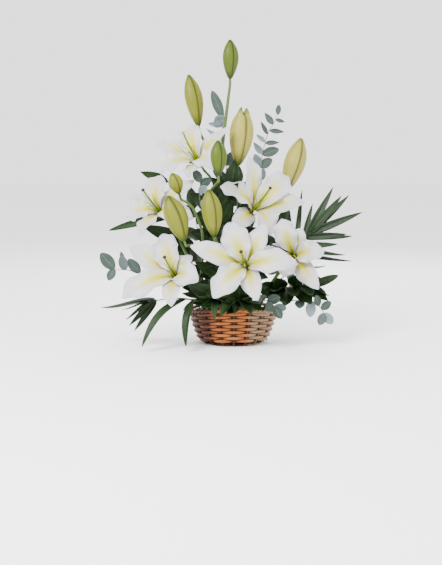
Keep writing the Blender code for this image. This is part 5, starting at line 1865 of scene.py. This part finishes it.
@dataclass
class Studio:
    """The floor, the soft lights and the camera."""

    target: Point = (-0.024, 0.0, 0.1207)
    distance: float = 2.4
    elevation: float = math.radians(6.0)
    lens: float = 76.46
    floor_reach: float = 14.0
    sensor: float = 36.0
    far: float = 60.0
    sky: float = 2.2

    def floor(self) -> None:
        """A plain pale floor."""
        s = self.floor_reach
        obj = mesh_object("floor", [(-s, -s, 0), (s, -s, 0), (s, s, 0), (-s, s, 0)], [],
                          [(0, 1, 2, 3)])
        coat = Coat("pale floor", 0.85)
        tint = coat.tree.mix(coat.mottle(3.0, 0.6), (0.93, 0.93, 0.93), (0.95, 0.95, 0.95))
        obj.data.materials.append(coat.finish(tint))

    def light(self, name: str, place: Point, aim: Point, power: float, size: float) -> None:
        """A square soft light.

        Args:
            name: The light's name.
            place: Where it stands.
            aim: Where it points.
            power: Its power in watts.
            size: The side of the square.
        """
        lamp = bpy.data.lights.new(name, "AREA")
        lamp.energy = power
        lamp.size = size
        obj = link(bpy.data.objects.new(name, lamp))
        obj.location = place
        turn = (Vector(aim) - Vector(place)).to_track_quat("-Z", "Y")
        obj.rotation_euler = turn.to_euler()

    def camera(self) -> None:
        """The camera, level with the middle of the flowers and a little above."""
        data = bpy.data.cameras.new("camera")
        data.lens = self.lens
        data.sensor_width = self.sensor
        data.clip_end = self.far
        obj = link(bpy.data.objects.new("camera", data))
        back = Vector((0, -math.cos(self.elevation), math.sin(self.elevation)))
        obj.location = Vector(self.target) + back * self.distance
        obj.rotation_euler = (math.pi / 2 - self.elevation, 0, 0)
        bpy.context.scene.camera = obj

    def build(self) -> None:
        """Set up the studio."""
        self.floor()
        for lamp in LAMPS:
            self.light(*lamp)
        world = bpy.data.worlds.new("studio")
        bpy.context.scene.world = world
        world.use_nodes = True
        back = world.node_tree.nodes["Background"]
        back.inputs["Color"].default_value = (1.0, 1.0, 1.0, 1.0)
        back.inputs["Strength"].default_value = self.sky
        self.camera()


# ------------------------------------------------------------------ assembly

def main() -> None:
    """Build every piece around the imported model."""
    logging.basicConfig(level=logging.INFO, format="%(name)s: %(message)s")
    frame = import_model()
    draw = random.Random(SEED)

    willow = WillowFinish("stained willow").material()
    stakes = WillowFinish("stake willow", orange=(0.060, 0.018, 0.005),
                          pale=(0.09, 0.032, 0.009)).material()
    liner = PlainFinish("black liner film", (0.004, 0.003, 0.002), (0.010, 0.008, 0.006),
                        0.80, 300.0, 0.0004).material()
    foam = PlainFinish("wet flower foam", (0.010, 0.035, 0.012), (0.030, 0.085, 0.028),
                       0.95, 700.0, 0.0008).material()
    Basket().build(willow, stakes, liner, foam, frame)

    petal = TepalFinish("white petal").material()
    sepal = TepalFinish("white sepal", band=0.46, reach=0.95).material()
    pistil = PistilFinish().material()
    for name, lily in LILIES.items():
        lily.build(name, petal, sepal, pistil, draw)

    bud_finishes = {look: BudFinish(look.value, *BUD_COLOURS[look]).material()
                    for look in BudLook}
    for name, bud in BUDS.items():
        bud.build(name, bud_finishes)

    green = StemFinish("lily stem", (0.020, 0.045, 0.004), (0.065, 0.11, 0.012)).material()
    for node in sorted(n for n in frame["nodes"] if n.startswith("stem_")):
        LilyStem(node).build(green, frame)

    finishes = {plant: LeafFinish(plant.value, *LEAF_COLOURS[plant]).material()
                for plant in Plant}
    twig = StemFinish("leaf stem", (0.010, 0.022, 0.004), (0.035, 0.055, 0.012)).material()
    grey_twig = StemFinish("eucalyptus stem", (0.055, 0.045, 0.028), (0.12, 0.13, 0.08)).material()
    stem_finishes = {plant: twig for plant in Plant}
    stem_finishes[Plant.EUCALYPTUS] = grey_twig
    for name, sprig in SPRIGS.items():
        sprig.build(name, finishes, stem_finishes, draw)
    LeafMaker.put_away()

    Studio().build()


if __name__ == "__main__":
    main()
